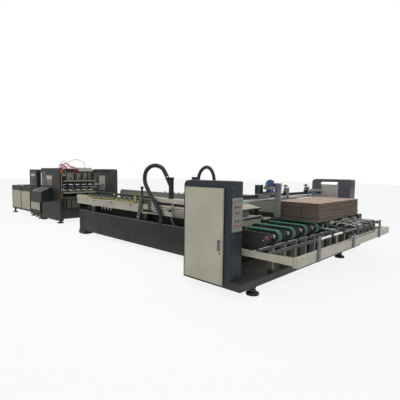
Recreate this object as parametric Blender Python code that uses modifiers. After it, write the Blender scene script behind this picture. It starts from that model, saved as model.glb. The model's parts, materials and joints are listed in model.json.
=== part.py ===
"""Corrugated box making machine: board feeder, folding section, press section and delivery table.

Metres, +Z up. X runs along the line with the feed end at +X, Y runs across it, and the
origin lies on the floor under the middle of the whole line.
"""

import math

import bmesh
import bpy
from mathutils import Matrix, Vector

# Clearances
TOUCH = 0.0003
PIN_GAP = 0.0006
ROUND_SIDES = 16

# Lengths along the line, from the feed end to the delivery end
BAR_OVERHANG = 0.63
BEAM_DEPTH = 0.17
WALL_LENGTH = 0.86
FOLDER_LENGTH = 4.81
PRESS_GAP = 1.81
PRESS_LENGTH = 1.44
TABLE_LENGTH = 2.70
LINE_LENGTH = (
    BAR_OVERHANG + BEAM_DEPTH + WALL_LENGTH + FOLDER_LENGTH
    + PRESS_GAP + PRESS_LENGTH + TABLE_LENGTH
)

# Places along the line
FEED_END = LINE_LENGTH / 2
BASE_FRONT = FEED_END - BAR_OVERHANG
WALL_FRONT = BASE_FRONT - BEAM_DEPTH
WALL_REAR = WALL_FRONT - WALL_LENGTH
FOLDER_FRONT = WALL_REAR - TOUCH
FOLDER_REAR = WALL_REAR - FOLDER_LENGTH
PRESS_FRONT = FOLDER_REAR - PRESS_GAP
PRESS_REAR = PRESS_FRONT - PRESS_LENGTH
TABLE_FRONT = PRESS_REAR - TOUCH
TABLE_REAR = PRESS_REAR - TABLE_LENGTH

# Feeder frame
FEEDER_HALF = 2.13
WALL_THICK = 0.24
WALL_CORNER = 0.07
WALL_SHEET = 0.012
BEAM_BOTTOM = 0.10
BEAM_HEIGHT = 0.10
BEAM_TOP = BEAM_BOTTOM + BEAM_HEIGHT
WALL_INNER = FEEDER_HALF - WALL_THICK
REAR_PLATE_THICK = 0.03
REAR_PLATE_TOP = 0.66
PAN_THICK = 0.012
FOOT_PAD_RADIUS = 0.09
FOOT_PAD_HEIGHT = 0.025
FOOT_STEM_RADIUS = 0.03
FOOT_LAP = 0.03
NEAR_FOOT_MARGIN = 0.32
FAR_FOOT_MARGIN = 1.03
REAR_FOOT_MARGIN = 0.29
FRONT_FOOT_SETBACK = 0.035
FEEDER_FOOT_Y = (-FEEDER_HALF + NEAR_FOOT_MARGIN, FEEDER_HALF - FAR_FOOT_MARGIN)
REAR_FOOT_Y = (-WALL_INNER + REAR_FOOT_MARGIN, WALL_INNER - REAR_FOOT_MARGIN)

# Door on the outside of the near wall
DOOR_WIDTH = 0.70
DOOR_HEIGHT = 1.27
DOOR_THICK = 0.020
DOOR_BOTTOM = BEAM_BOTTOM + 0.035
DOOR_HEAD = 0.09
WALL_TOP = DOOR_BOTTOM + DOOR_HEIGHT + DOOR_HEAD
DOOR_GAP = 0.010
DOOR_REAR_MARGIN = 0.05
DOORWAY_LAP = 0.03
HINGE_RADIUS = 0.010
HINGE_SETBACK = 0.012
HINGE_KNUCKLE = 0.05
HINGE_FROM_END = 0.12
HANDLE_HEIGHT = 0.14
HANDLE_WIDTH = 0.022
HANDLE_STANDOFF = 0.030
HANDLE_GRIP = 0.012
HANDLE_INSET = 0.05
HANDLE_Z = 0.66

# Button panel on the end of the near wall
PANEL_WIDTH = 0.21
PANEL_BOTTOM = 0.845
PANEL_HEIGHT = 0.44
PANEL_THICK = 0.012
BUTTON_RADIUS = 0.011
BUTTON_LENGTH = 0.014
BUTTON_PITCH = 0.058
BUTTON_ROWS = ((0.400, 3), (0.325, 3), (0.245, 2), (0.145, 3), (0.085, 3))

# Guide rail and shaft across the feeder
RAIL_X = WALL_FRONT - 0.62
RAIL_DEPTH = 0.06
RAIL_HEIGHT = 0.05
RAIL_Z = 1.215
SHAFT_Z = 1.150
SHAFT_RADIUS = 0.028

# Side guides that ride on the rail
GUIDE_BOTTOM = 0.865
GUIDE_TOP = 1.44
GUIDE_THICK = 0.04
NEAR_GUIDE_Y = -0.42
NEAR_GUIDE_WIDTH = 0.11
FAR_GUIDE_MARGIN = 0.49
FAR_GUIDE_Y = WALL_INNER - FAR_GUIDE_MARGIN
FAR_GUIDE_WIDTH = 0.33
GUIDE_REAR_X = WALL_FRONT - 0.41
SADDLE_WALL = 0.014
SADDLE_LENGTH = 0.20
NEAR_SADDLE_REACH = 0.24
BRACKET_HEIGHT = 0.050
CONTROL_BOX_WIDTH = 0.12
CONTROL_BOX_DEPTH = 0.09
CONTROL_BOX_TOP = 1.41
BOX_BRACKET_GAP = 0.005
MOTOR_RADIUS = 0.085
MOTOR_X = GUIDE_REAR_X - 0.04

# Feed belts
BELT_COUNT = 9
BELT_SIDE_GAP = 0.2025
BELT_PITCH = 2 * (WALL_INNER - BELT_SIDE_GAP) / BELT_COUNT
BELT_WIDTH = 0.085
BELT_THICK = 0.010
BELT_TOP = 0.840
PULLEY_RADIUS = 0.070
RIM_RADIUS = 0.077
RIM_WIDTH = 0.010
BELT_FRONT = BASE_FRONT + 0.18
BELT_REAR = WALL_FRONT - 0.37
AXLE_RADIUS = 0.018
STAND_THICK = 0.022
STAND_TOP = BELT_TOP - 0.02
STAND_LIP = 0.04
STAND_POST_DEPTH = 0.085
STAND_POST_WIDTH = 0.045
STAND_POST_X = BASE_FRONT - 0.122
STAND_POST_MARGINS = (0.65, 0.45)
STAND_RAIL_HEIGHT = 0.06
STAND_RAIL_TOP = 0.585

# Transfer tables behind the belts
TABLE_BLOCK_BOTTOM = 0.70
TABLE_BLOCK_TOP = 0.90
TABLE_BLOCK_FRONT = WALL_FRONT - 0.47
TABLE_BLOCK_DEPTH = 0.30
TABLE_BLOCK_END = 0.75
WEDGE_TOP = 1.09

# Front bar and its arms
BAR_BOTTOM = 0.48
BAR_HEIGHT = 0.12
BAR_DEPTH = 0.06
BAR_WALL_GAP = 0.05
BAR_HALF = WALL_INNER - BAR_WALL_GAP
BAR_TUBE_WALL = 0.005
ARM_INSET = 0.03
ARM_Y = BAR_HALF - ARM_INSET
ARM_THICK = 0.05
ARM_HEIGHT = 0.08
ARM_LAP = 0.30
POST_Y = (-1.285, -0.05, 1.21)
POST_TOPS = (0.80, 0.69, 0.79)
POST_WIDTH = 0.075
POST_THICK = 0.018
POST_DROP = 0.01
CARRIER_Z = 0.76
CARRIER_RADIUS = 0.014
STRAP_REACH = 0.37
STRAP_RISE = 0.015
STRAP_RADIUS = 0.008
ARM_STRIP = 0.012
ARM_STRIP_WIDTH = 0.045
ARM_STANDS = (3, 4, 6, 7)

# Stack of board blanks
STACK_FRONT = BASE_FRONT + 0.18
STACK_LENGTH = 0.80
STACK_GUIDE_GAP = 0.06
STACK_NEAR = NEAR_GUIDE_Y + STACK_GUIDE_GAP
STACK_FAR = FAR_GUIDE_Y - STACK_GUIDE_GAP
STACK_HEIGHT = 0.30

# Front stops clamped on the rail, over the stack
NEAR_STOP_INSET = 0.64
FAR_STOP_INSET = 0.24
STOP_Y = (STACK_NEAR + NEAR_STOP_INSET, STACK_FAR - FAR_STOP_INSET)
STOP_WIDTH = 0.05
STOP_TOP = 1.335

# Folding section
FOLDER_HALF = 1.30
FOLDER_BEAM_THICK = 0.20
FOLDER_BEAM_BOTTOM = 0.09
FOLDER_BEAM_TOP = 0.60
FOLDER_PAD_LENGTH = 0.30
FOLDER_PAD_SPREAD = 0.02
TIE_SIZE = 0.16
REAR_TIE_SETBACK = 0.50
FRONT_TIE_SETBACK = 0.50
TIE_Z = 0.40
TRAY_THICK = 0.008
TRAY_MARGIN = 0.05
MIDDLE_BELT_Y = -0.26
MIDDLE_BELT_WIDTH = 0.07
MIDDLE_BELT_TOP = 0.995
MIDDLE_BELT_DEPTH = 0.045
MIDDLE_BELT_REACH = 0.98
LEG_SIZE = 0.06
LEG_LAP = 0.01
FOLD_BEAM_INSET = 0.15
FOLD_BEAM_Y = FOLDER_HALF - FOLD_BEAM_INSET
FOLD_BEAM_THICK = 0.12
FOLD_BEAM_BOTTOM = 0.755
FAR_BEAM_BOTTOM = FOLDER_BEAM_TOP + 0.02
FOLD_BEAM_TOP = 0.94
FOLD_REAR = FOLDER_REAR - 0.28
FAR_FOLD_REAR = PRESS_FRONT + 0.02
FOLD_STEP = FOLDER_FRONT - 1.95
FOLD_STEP_RISE = 0.155
FOLD_SLOT_LIFT = 0.02
FOLD_SLOT_HEIGHT = 0.05
FOLD_SLOT_INSET = 0.20
FOLD_SLOT_DEPTH = 0.03
GUARD_LENGTH = 0.80
GUARD_THICK = 0.04
GUARD_TOP = 0.975
FOLD_BELT_WIDTH = 0.06
FOLD_BELT_THICK = 0.008
FOLD_PULLEY_RADIUS = 0.026
FOLD_BELT_LIFT = 0.003
RAIL_PLATE = 0.016
FOLD_BELT_FRONT = FOLD_STEP - 0.03
FOLD_ROD_RADIUS = 0.012
ROD_OFFSET = 0.04
ROD_RISE = 0.02
PEDESTAL_LENGTH = 0.16
PEDESTAL_X = (FOLDER_REAR + 0.45, FOLDER_REAR + 2.55, FOLDER_FRONT - 0.40)
COLUMN_X = FOLDER_FRONT - 2.377
COLUMN_WIDTH = 0.10
LEVER_LEAN = 0.12
LEVER_TOP = 1.12
LEVER_THICK = 0.018
KNOB_RADIUS = 0.034

# Ducts over the folding section
HOSE_RADIUS = 0.042
THIN_HOSE_RADIUS = 0.030
THIN_HOSE_X = (FOLDER_FRONT - 0.69, FOLDER_FRONT - 0.285)
THIN_HOSE_TOP = 1.73
THIN_HOSE_SHOULDER = 0.38
THIN_HOSE_CURVE = 0.20
THIN_HOSE_CROWN = 0.12
CLAMP_POST_SIZE = 0.085
CLAMP_POST_TOP = 1.525
DUCT_X = FOLDER_FRONT - 1.395
DUCT_RADIUS = 0.048
SOCKET_LENGTH = 0.13
DUCT_TOP = 1.505
HOSE_ROUTE = (
    (-0.100, 0.000, -0.031), (-0.191, 0.000, 0.097), (-0.273, 0.000, 0.177), (-0.376, -0.010, 0.217),
    (-0.470, -0.020, 0.229), (-0.589, -0.030, 0.211), (-0.688, -0.050, 0.146), (-0.729, -0.070, 0.053),
    (-0.716, -0.090, -0.047), (-0.676, -0.105, -0.137), (-0.589, -0.112, -0.247), (-0.485, -0.115, -0.363),
    (-0.389, -0.115, -0.463), (-0.305, -0.115, -0.555), (-0.215, -0.115, -0.655), (-0.165, -0.115, -0.745),
    (-0.150, -0.115, -0.825),
)

# Press section
PRESS_HALF = 1.00
PRESS_WALL = 0.10
PRESS_FOOT_SETBACK = 0.12
PRESS_BOTTOM = 0.07
PRESS_TOP = 1.685
PRESS_CORNER = 0.09
PRESS_BASE_TOP = 0.42
PRESS_BASE_SETBACK = 0.02
LINK_HALF = 0.30
LINK_BOTTOM = 0.33
LINK_TOP = 0.41
UPPER_WHEEL_Z = 1.175
LOWER_WHEEL_Z = 1.000
WHEEL_SHAFTS = {
    "upper_wheel_shaft": (PRESS_FRONT - 0.24, UPPER_WHEEL_Z),
    "lower_wheel_shaft": (PRESS_FRONT - 0.24, LOWER_WHEEL_Z),
    "rear_wheel_shaft": (PRESS_FRONT - 0.50, LOWER_WHEEL_Z),
}
WHEEL_COUNT = 4
BEARING_Y = 0.22
BEARING_THICK = 0.025
BEARING_FRONT = PRESS_FRONT - 0.14
BEARING_REAR = PRESS_FRONT - 0.60
THROAT_MARGIN = 0.01
TOP_TIE = 0.04
WHEEL_RADIUS = 0.072
WHEEL_WIDTH = 0.05
PRESS_AXLE = 0.022
HOOD_DEPTH = 0.32
HOOD_TOP = 1.08
HOOD_BOTTOM = 0.64
HOOD_FRONT = PRESS_FRONT - 0.62
HOOD_SLOPE = 0.14
MANIFOLD_REAR_SETBACK = 0.50
MANIFOLD_BOTTOM = 1.54
MANIFOLD_TOP = 1.66
HANGER_THICK = 0.02
HANGER_BOTTOM = 1.30
HANGER_BAR = 0.025
HANGER_SPANS = ((-0.76, -0.51), (-0.44, -0.28), (-0.21, -0.07), (-0.02, 0.07))
CROSS_RAIL = 0.04
CROSS_RAIL_Z = 0.81
GLUE_BLOCK_DEPTH = 0.14
GLUE_BLOCK_TOP = 0.735
GLUE_BLOCKS_Y = ((-0.78, -0.66), (-0.64, -0.36), (0.36, 0.62))
AIR_LINE_RADIUS = 0.006
AIR_LOOPS = ((-0.86, -0.68, 0.24), (-0.62, -0.10, 0.31))
STRIP_OFFSET = 0.08
STRIP_HEIGHT = 0.02

# Delivery table
TABLE_STEP = 0.02
TABLE_HALF = PRESS_HALF + TABLE_STEP
TABLE_TOP = 1.04
TABLE_SIDE_THICK = 0.10
TABLE_SIDE_BOTTOM = 0.16
POST_WALL_FRONT = TABLE_FRONT - 0.55
POST_WALL_LENGTH = 0.64
POST_WALL_THICK = 0.14
POST_WALL_TOP = 1.64
POST_WALL_CORNER = 0.06
BED_INSET = 0.02
BED_DROP = 0.04
BED_THICK = 0.08

FINISHES = {
    "slate_paint": ((0.042, 0.050, 0.058, 1.0), 0.45, 0.0),
    "black_paint": ((0.030, 0.031, 0.027, 1.0), 0.50, 0.0),
    "cream_paint": ((0.430, 0.400, 0.310, 1.0), 0.45, 0.0),
    "grey_steel": ((0.240, 0.240, 0.240, 1.0), 0.40, 0.6),
    "chrome": ((0.700, 0.700, 0.720, 1.0), 0.18, 1.0),
    "green_belt": ((0.020, 0.210, 0.120, 1.0), 0.65, 0.0),
    "blue_paint": ((0.030, 0.090, 0.240, 1.0), 0.40, 0.0),
    "brass": ((0.480, 0.330, 0.080, 1.0), 0.35, 0.7),
    "cardboard": ((0.330, 0.230, 0.150, 1.0), 0.85, 0.0),
    "black_rubber": ((0.035, 0.035, 0.040, 1.0), 0.75, 0.0),
    "red_tube": ((0.550, 0.030, 0.040, 1.0), 0.35, 0.0),
    "panel_alloy": ((0.420, 0.420, 0.400, 1.0), 0.40, 0.5),
}


def clear_scene():
    for obj in list(bpy.data.objects):
        bpy.data.objects.remove(obj, do_unlink=True)


def new_collection(name):
    collection = bpy.data.collections.new(name)
    bpy.context.scene.collection.children.link(collection)
    return collection


def own_material(name, finish):
    color, roughness, metallic = FINISHES[finish]
    material = bpy.data.materials.new(name + "_" + finish)
    material.use_nodes = True
    shader = material.node_tree.nodes["Principled BSDF"]
    shader.inputs["Base Color"].default_value = color
    shader.inputs["Roughness"].default_value = roughness
    shader.inputs["Metallic"].default_value = metallic
    return material


def as_object(name, data, place=(0, 0, 0)):
    obj = bpy.data.objects.new(name, data)
    obj.location = place
    HELPERS.objects.link(obj)
    obj.hide_render = True
    obj.display_type = "WIRE"
    return obj


def part(obj, name, finish):
    """Moves a finished shape among the machine's sub-parts, with a name and a material of its own."""
    HELPERS.objects.unlink(obj)
    MACHINE.objects.link(obj)
    obj.name = name
    obj.hide_render = False
    obj.display_type = "TEXTURED"
    obj.data.name = name
    obj.data.materials.clear()
    obj.data.materials.append(own_material(name, finish))
    return obj


def mesh_from(bm, name):
    mesh = bpy.data.meshes.new(name)
    bm.to_mesh(mesh)
    bm.free()
    return mesh


def block(x, y, z):
    """A box between two values on each axis."""
    low = Vector((min(x), min(y), min(z)))
    high = Vector((max(x), max(y), max(z)))
    bm = bmesh.new()
    bmesh.ops.create_cube(bm, size=1.0)
    bmesh.ops.scale(bm, vec=high - low, verts=bm.verts)
    return as_object("block", mesh_from(bm, "block"), (low + high) / 2)


def bar_at(centre, size):
    """A box from its centre and its three sizes."""
    return block(*[(c - s / 2, c + s / 2) for c, s in zip(centre, size)])


def rod(start, end, radius, sides=ROUND_SIDES):
    """A round bar from one point to another."""
    start, end = Vector(start), Vector(end)
    bm = bmesh.new()
    bmesh.ops.create_cone(
        bm, cap_ends=True, segments=sides, radius1=radius, radius2=radius, depth=(end - start).length
    )
    obj = as_object("rod", mesh_from(bm, "rod"), (start + end) / 2)
    obj.rotation_euler = (end - start).to_track_quat("Z", "Y").to_euler()
    return obj


def turned(profile, place, axis="Y", steps=ROUND_SIDES):
    """A turned piece. The profile gives (radius, distance along the axis), top to bottom."""
    mesh = bpy.data.meshes.new("turned")
    points = [(radius, 0, along) for radius, along in profile]
    mesh.from_pydata(points, [(i, i + 1) for i in range(len(points) - 1)], [])
    obj = as_object("turned", mesh, place)
    screw = obj.modifiers.new("turn", "SCREW")
    screw.steps = steps
    screw.render_steps = steps
    screw.use_merge_vertices = True
    screw.merge_threshold = 0.0001
    screw.use_smooth_shade = False
    if axis == "Y":
        obj.rotation_euler = (math.radians(-90), 0, 0)
    return obj


def arc(centre, radius, start, end, count):
    """Points on an arc in a plane, from one angle in degrees to another."""
    step = (end - start) / (count - 1)
    angles = [math.radians(start + step * i) for i in range(count)]
    return [(centre[0] + radius * math.cos(a), centre[1] + radius * math.sin(a)) for a in angles]


def sheet(outlines, low_y, high_y):
    """A flat plate in the XZ plane, between two Y values. Outlines after the first are holes."""
    curve = bpy.data.curves.new("sheet", "CURVE")
    curve.dimensions = "2D"
    curve.fill_mode = "BOTH"
    curve.extrude = (high_y - low_y) / 2
    for outline in outlines:
        spline = curve.splines.new("POLY")
        spline.points.add(len(outline) - 1)
        for point, (x, z) in zip(spline.points, outline):
            point.co = (x, z, 0, 1)
        spline.use_cyclic_u = True
    obj = as_object("sheet", curve, (0, (low_y + high_y) / 2, 0))
    obj.rotation_euler = (math.radians(90), 0, 0)
    return as_mesh(obj)


def tube(points, radius, sides_level=2):
    """A tube through points, with filled ends."""
    curve = bpy.data.curves.new("tube", "CURVE")
    curve.dimensions = "3D"
    curve.bevel_depth = radius
    curve.bevel_resolution = sides_level
    curve.use_fill_caps = True
    spline = curve.splines.new("POLY")
    spline.points.add(len(points) - 1)
    for point, place in zip(spline.points, points):
        point.co = (*place, 1)
    return as_mesh(as_object("tube", curve))


def smooth_route(points, count):
    """Evenly stepped points on a smooth curve through the given points."""
    ends = [points[0]] + list(points) + [points[-1]]
    ends = [Vector(p) for p in ends]
    route = []
    spans = len(points) - 1
    for i in range(count):
        at = spans * i / (count - 1)
        k = min(int(at), spans - 1)
        t = at - k
        a, b, c, d = ends[k:k + 4]
        square = (2 * a - 5 * b + 4 * c - d) * t ** 2
        cube = (3 * b - a - 3 * c + d) * t ** 3
        route.append((2 * b + (c - a) * t + square + cube) / 2)
    return route


def held_route(points, count):
    """A smooth route whose first and last stretch run straight, as they leave a socket."""
    return [Vector(points[0])] + smooth_route(points[1:-1], count) + [Vector(points[-1])]


def as_mesh(obj):
    """Turns a curve or a shape with modifiers into a welded mesh."""
    bpy.context.view_layer.update()
    evaluated = obj.evaluated_get(bpy.context.evaluated_depsgraph_get())
    mesh = bpy.data.meshes.new_from_object(evaluated)
    bm = bmesh.new()
    bm.from_mesh(mesh)
    bmesh.ops.remove_doubles(bm, verts=bm.verts, dist=0.00001)
    bmesh.ops.recalc_face_normals(bm, faces=bm.faces)
    bm.to_mesh(mesh)
    bm.free()
    solid = as_object(obj.name, mesh)
    solid.matrix_world = obj.matrix_world.copy()
    bpy.data.objects.remove(obj, do_unlink=True)
    return solid


def combine(base, others, operation):
    for other in others:
        modifier = base.modifiers.new(operation.lower(), "BOOLEAN")
        modifier.operation = operation
        modifier.object = other
        modifier.solver = "EXACT"
    result = as_mesh(base)
    for other in others:
        bpy.data.objects.remove(other, do_unlink=True)
    return result


def unite(base, *others):
    return combine(base, others, "UNION")


def cut(base, *cutters):
    return combine(base, cutters, "DIFFERENCE")


def mirrored(obj):
    """A copy on the far side of the line's centre plane."""
    mesh = obj.data.copy()
    bm = bmesh.new()
    bm.from_mesh(mesh)
    bmesh.ops.transform(bm, matrix=obj.matrix_world, verts=bm.verts)
    bmesh.ops.transform(bm, matrix=Matrix.Scale(-1, 4, (0, 1, 0)), verts=bm.verts)
    bmesh.ops.reverse_faces(bm, faces=bm.faces)
    bm.to_mesh(mesh)
    bm.free()
    return as_object("mirrored", mesh)


def set_origin(obj, place):
    """Puts a moving piece's origin on its joint, with its shape where it was."""
    shift = Matrix.Translation(Vector(place)).inverted() @ obj.matrix_world
    obj.data.transform(shift)
    obj.matrix_world = Matrix.Translation(Vector(place))


def foot(x, y, top):
    """A levelling foot: a round pad with a stem that runs up into the beam."""
    profile = [
        (0, top), (FOOT_STEM_RADIUS, top), (FOOT_STEM_RADIUS, FOOT_PAD_HEIGHT + 0.012),
        (FOOT_PAD_RADIUS, FOOT_PAD_HEIGHT), (FOOT_PAD_RADIUS, 0), (0, 0),
    ]
    return as_mesh(turned(profile, (x, y, 0), axis="Z"))


def wall_outline(rear, front, bottom, top, corner, round_front=False):
    """The side of an upright housing, with its top corners rounded."""
    steps = 6
    points = [(rear, bottom), (front, bottom)]
    if round_front:
        points += arc((front - corner, top - corner), corner, 0, 90, steps)
    else:
        points.append((front, top))
    return points + arc((rear + corner, top - corner), corner, 90, 180, steps)


def feeder_beams():
    """The two base beams on their feet. The rear one carries a deep plate and the pan under the belts."""
    depth = BEAM_DEPTH - TOUCH
    rear_x, front_x = WALL_REAR, WALL_FRONT + TOUCH
    rows = (
        ("feeder_front_beam", front_x, FEEDER_HALF, BASE_FRONT - FRONT_FOOT_SETBACK, FEEDER_FOOT_Y),
        ("feeder_rear_beam", rear_x, WALL_INNER - TOUCH, rear_x + depth / 2, REAR_FOOT_Y),
    )
    for name, rear, reach, foot_x, foot_places in rows:
        beam = block((rear, rear + depth), (-reach, reach), (BEAM_BOTTOM, BEAM_TOP))
        feet = [foot(foot_x, y, BEAM_BOTTOM + FOOT_LAP) for y in foot_places]
        if name == "feeder_rear_beam":
            plate_x = (rear, rear + REAR_PLATE_THICK)
            pan_x = (rear + depth / 2, WALL_FRONT)
            feet.append(block(plate_x, (-reach, reach), (BEAM_BOTTOM, REAR_PLATE_TOP)))
            feet.append(block(pan_x, (-reach, reach), (BEAM_BOTTOM, BEAM_BOTTOM + PAN_THICK)))
        part(unite(beam, *feet), name, "black_paint")


def hinge_places():
    low = DOOR_BOTTOM + HINGE_FROM_END
    return (low, DOOR_BOTTOM + DOOR_HEIGHT - HINGE_FROM_END)


def hinge_axis():
    return (WALL_REAR + DOOR_REAR_MARGIN, -FEEDER_HALF - DOOR_GAP - HINGE_SETBACK)


def feeder_near_wall():
    """A hollow sheet-metal cabinet, open on its outer side behind the door."""
    outline = wall_outline(WALL_REAR, WALL_FRONT, BEAM_BOTTOM, WALL_TOP, WALL_CORNER)
    shell = sheet([outline], -FEEDER_HALF, -WALL_INNER)
    inner = wall_outline(
        WALL_REAR + WALL_SHEET, WALL_FRONT - WALL_SHEET, BEAM_BOTTOM + WALL_SHEET,
        WALL_TOP - WALL_SHEET, WALL_CORNER - WALL_SHEET,
    )
    hollow = sheet([inner], -FEEDER_HALF + WALL_SHEET, -WALL_INNER - WALL_SHEET)
    axis_x, axis_y = hinge_axis()
    doorway = block(
        (axis_x + DOORWAY_LAP, axis_x + DOOR_WIDTH - DOORWAY_LAP),
        (-FEEDER_HALF - 0.1, -FEEDER_HALF + 2 * WALL_SHEET),
        (DOOR_BOTTOM + DOORWAY_LAP, DOOR_BOTTOM + DOOR_HEIGHT - DOORWAY_LAP),
    )
    wall = cut(shell, hollow, doorway)
    knuckles = []
    for z in hinge_places():
        for low in (z - 1.5 * HINGE_KNUCKLE - TOUCH, z + 0.5 * HINGE_KNUCKLE + TOUCH):
            high = low + HINGE_KNUCKLE
            knuckles.append(rod((axis_x, axis_y, low), (axis_x, axis_y, high), HINGE_RADIUS))
            leaf_y = (axis_y, -FEEDER_HALF + WALL_SHEET / 2)
            knuckles.append(block((axis_x - HINGE_RADIUS, axis_x), leaf_y, (low, high)))
    part(unite(wall, *knuckles), "feeder_near_wall", "slate_paint")


def feeder_near_door():
    """The cabinet door, its two hinge knuckles and its bow handle."""
    axis_x, axis_y = hinge_axis()
    face = -FEEDER_HALF - DOOR_GAP - DOOR_THICK
    rear = axis_x + HINGE_SETBACK
    front = axis_x + DOOR_WIDTH
    door = block((rear, front), (face, face + DOOR_THICK), (DOOR_BOTTOM, DOOR_BOTTOM + DOOR_HEIGHT))
    pieces = []
    for z in hinge_places():
        low, high = z - HINGE_KNUCKLE / 2, z + HINGE_KNUCKLE / 2
        pieces.append(rod((axis_x, axis_y, low), (axis_x, axis_y, high), HINGE_RADIUS))
        pieces.append(block((axis_x, rear + 0.004), (axis_y - 0.004, axis_y + 0.004), (low, high)))
    handle_x = front - HANDLE_INSET
    out = face - HANDLE_STANDOFF
    grip_z = (HANDLE_Z - HANDLE_HEIGHT / 2, HANDLE_Z + HANDLE_HEIGHT / 2)
    grip_x = (handle_x - HANDLE_WIDTH / 2, handle_x + HANDLE_WIDTH / 2)
    grip = bow_handle(grip_x, face + 0.005, out, grip_z)
    solid = part(unite(door, grip, *pieces), "feeder_near_door", "cream_paint")
    set_origin(solid, (axis_x, axis_y, DOOR_BOTTOM))


def bow_handle(x, root, out, z):
    """A bow handle: a bar on two legs."""
    leg = HANDLE_WIDTH
    grip = block(x, (out, out + HANDLE_GRIP), z)
    lower = block(x, (out + HANDLE_GRIP / 2, root), (z[0], z[0] + leg))
    upper = block(x, (out + HANDLE_GRIP / 2, root), (z[1] - leg, z[1]))
    return unite(grip, lower, upper)


def feeder_far_wall():
    outline = wall_outline(WALL_REAR, WALL_FRONT, BEAM_BOTTOM, WALL_TOP, WALL_CORNER)
    part(sheet([outline], WALL_INNER, FEEDER_HALF), "feeder_far_wall", "slate_paint")


def button_panel():
    """The panel of round push buttons on the end of the near wall."""
    middle = -FEEDER_HALF + WALL_THICK / 2
    plate = block(
        (WALL_FRONT + TOUCH, WALL_FRONT + PANEL_THICK),
        (middle - PANEL_WIDTH / 2, middle + PANEL_WIDTH / 2),
        (PANEL_BOTTOM, PANEL_BOTTOM + PANEL_HEIGHT),
    )
    buttons = []
    for height, count in BUTTON_ROWS:
        for i in range(count):
            y = middle + (i - (count - 1) / 2) * BUTTON_PITCH
            z = PANEL_BOTTOM + height
            x = WALL_FRONT + PANEL_THICK
            buttons.append(rod((x - 0.005, y, z), (x + BUTTON_LENGTH, y, z), BUTTON_RADIUS, 10))
    part(unite(plate, *buttons), "button_panel", "panel_alloy")


def guide_rail_and_shaft():
    reach = WALL_INNER - TOUCH
    rail = block(
        (RAIL_X - RAIL_DEPTH / 2, RAIL_X + RAIL_DEPTH / 2), (-reach, reach),
        (RAIL_Z - RAIL_HEIGHT / 2, RAIL_Z + RAIL_HEIGHT / 2),
    )
    part(rail, "guide_rail", "slate_paint")
    part(rod((RAIL_X, -reach, SHAFT_Z), (RAIL_X, reach, SHAFT_Z), SHAFT_RADIUS), "guide_shaft", "chrome")


def saddle(low_y, high_y):
    """A carriage of bent plate that straddles the rail, open below."""
    top = RAIL_Z + RAIL_HEIGHT / 2 + PIN_GAP
    inside = RAIL_DEPTH / 2 + PIN_GAP
    outside = inside + SADDLE_WALL
    low = RAIL_Z - RAIL_HEIGHT / 2
    outline = [
        (RAIL_X - outside, low), (RAIL_X - inside, low), (RAIL_X - inside, top), (RAIL_X + inside, top),
        (RAIL_X + inside, low), (RAIL_X + outside, low), (RAIL_X + outside, top + SADDLE_WALL),
        (RAIL_X - outside, top + SADDLE_WALL),
    ]
    return sheet([outline], low_y, high_y)


def bracket_top():
    """The level of the angle brackets that join the guide plates to their saddles."""
    return RAIL_Z + RAIL_HEIGHT / 2 + PIN_GAP + BRACKET_HEIGHT


def side_guide(y, width, saddle_reach, bracket_reach):
    """A guide plate in front of the rail, hung from its saddle by an angle bracket."""
    rear = GUIDE_REAR_X
    plate = block((rear, rear + width), (y - GUIDE_THICK / 2, y + GUIDE_THICK / 2), (GUIDE_BOTTOM, GUIDE_TOP))
    reach_x = (RAIL_X - RAIL_DEPTH / 2, rear + GUIDE_THICK / 2)
    bracket_z = (bracket_top() - BRACKET_HEIGHT + SADDLE_WALL / 2, bracket_top())
    bracket = block(reach_x, (y - bracket_reach, y + GUIDE_THICK / 2), bracket_z)
    carriage = saddle(y - saddle_reach, y + SADDLE_LENGTH / 2)
    return unite(plate, carriage, bracket)


def side_guides():
    """The near guide, which carries its drive and a control box, and the plainer far guide."""
    bracket_reach = NEAR_SADDLE_REACH - CONTROL_BOX_WIDTH
    near = side_guide(NEAR_GUIDE_Y, NEAR_GUIDE_WIDTH, NEAR_SADDLE_REACH, bracket_reach)
    box_low = NEAR_GUIDE_Y - NEAR_SADDLE_REACH
    box_base = RAIL_Z + RAIL_HEIGHT / 2 + SADDLE_WALL / 2
    box = block(
        (RAIL_X - CONTROL_BOX_DEPTH / 2, RAIL_X + CONTROL_BOX_DEPTH / 2),
        (box_low, box_low + CONTROL_BOX_WIDTH - BOX_BRACKET_GAP), (box_base, CONTROL_BOX_TOP),
    )
    set_origin(part(unite(near, box), "near_side_guide", "grey_steel"), (RAIL_X, NEAR_GUIDE_Y, RAIL_Z))
    far = side_guide(FAR_GUIDE_Y, FAR_GUIDE_WIDTH, SADDLE_LENGTH / 2, SADDLE_LENGTH / 4)
    set_origin(part(far, "far_side_guide", "grey_steel"), (RAIL_X, FAR_GUIDE_Y, RAIL_Z))


def guide_motor():
    """The upright gear motor on the near guide's bracket: flange, alloy ring, motor and fan cover."""
    y = NEAR_GUIDE_Y - GUIDE_THICK / 2 - TOUCH - MOTOR_RADIUS
    base = bracket_top() + TOUCH
    neck, ring = MOTOR_RADIUS * 0.75, MOTOR_RADIUS
    profile = [
        (0, 0.21), (neck * 0.6, 0.21), (neck * 0.65, 0.165), (neck, 0.160), (neck + 0.012, 0.150),
        (neck + 0.012, 0.095), (ring, 0.095), (ring, 0.048), (neck, 0.048), (neck, 0.014),
        (ring * 0.9, 0.014), (ring * 0.9, 0), (0, 0),
    ]
    motor = as_mesh(turned(profile, (MOTOR_X, y, base), axis="Z"))
    solid = part(motor, "guide_motor", "blue_paint")
    set_origin(solid, (RAIL_X, NEAR_GUIDE_Y, RAIL_Z))


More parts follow.
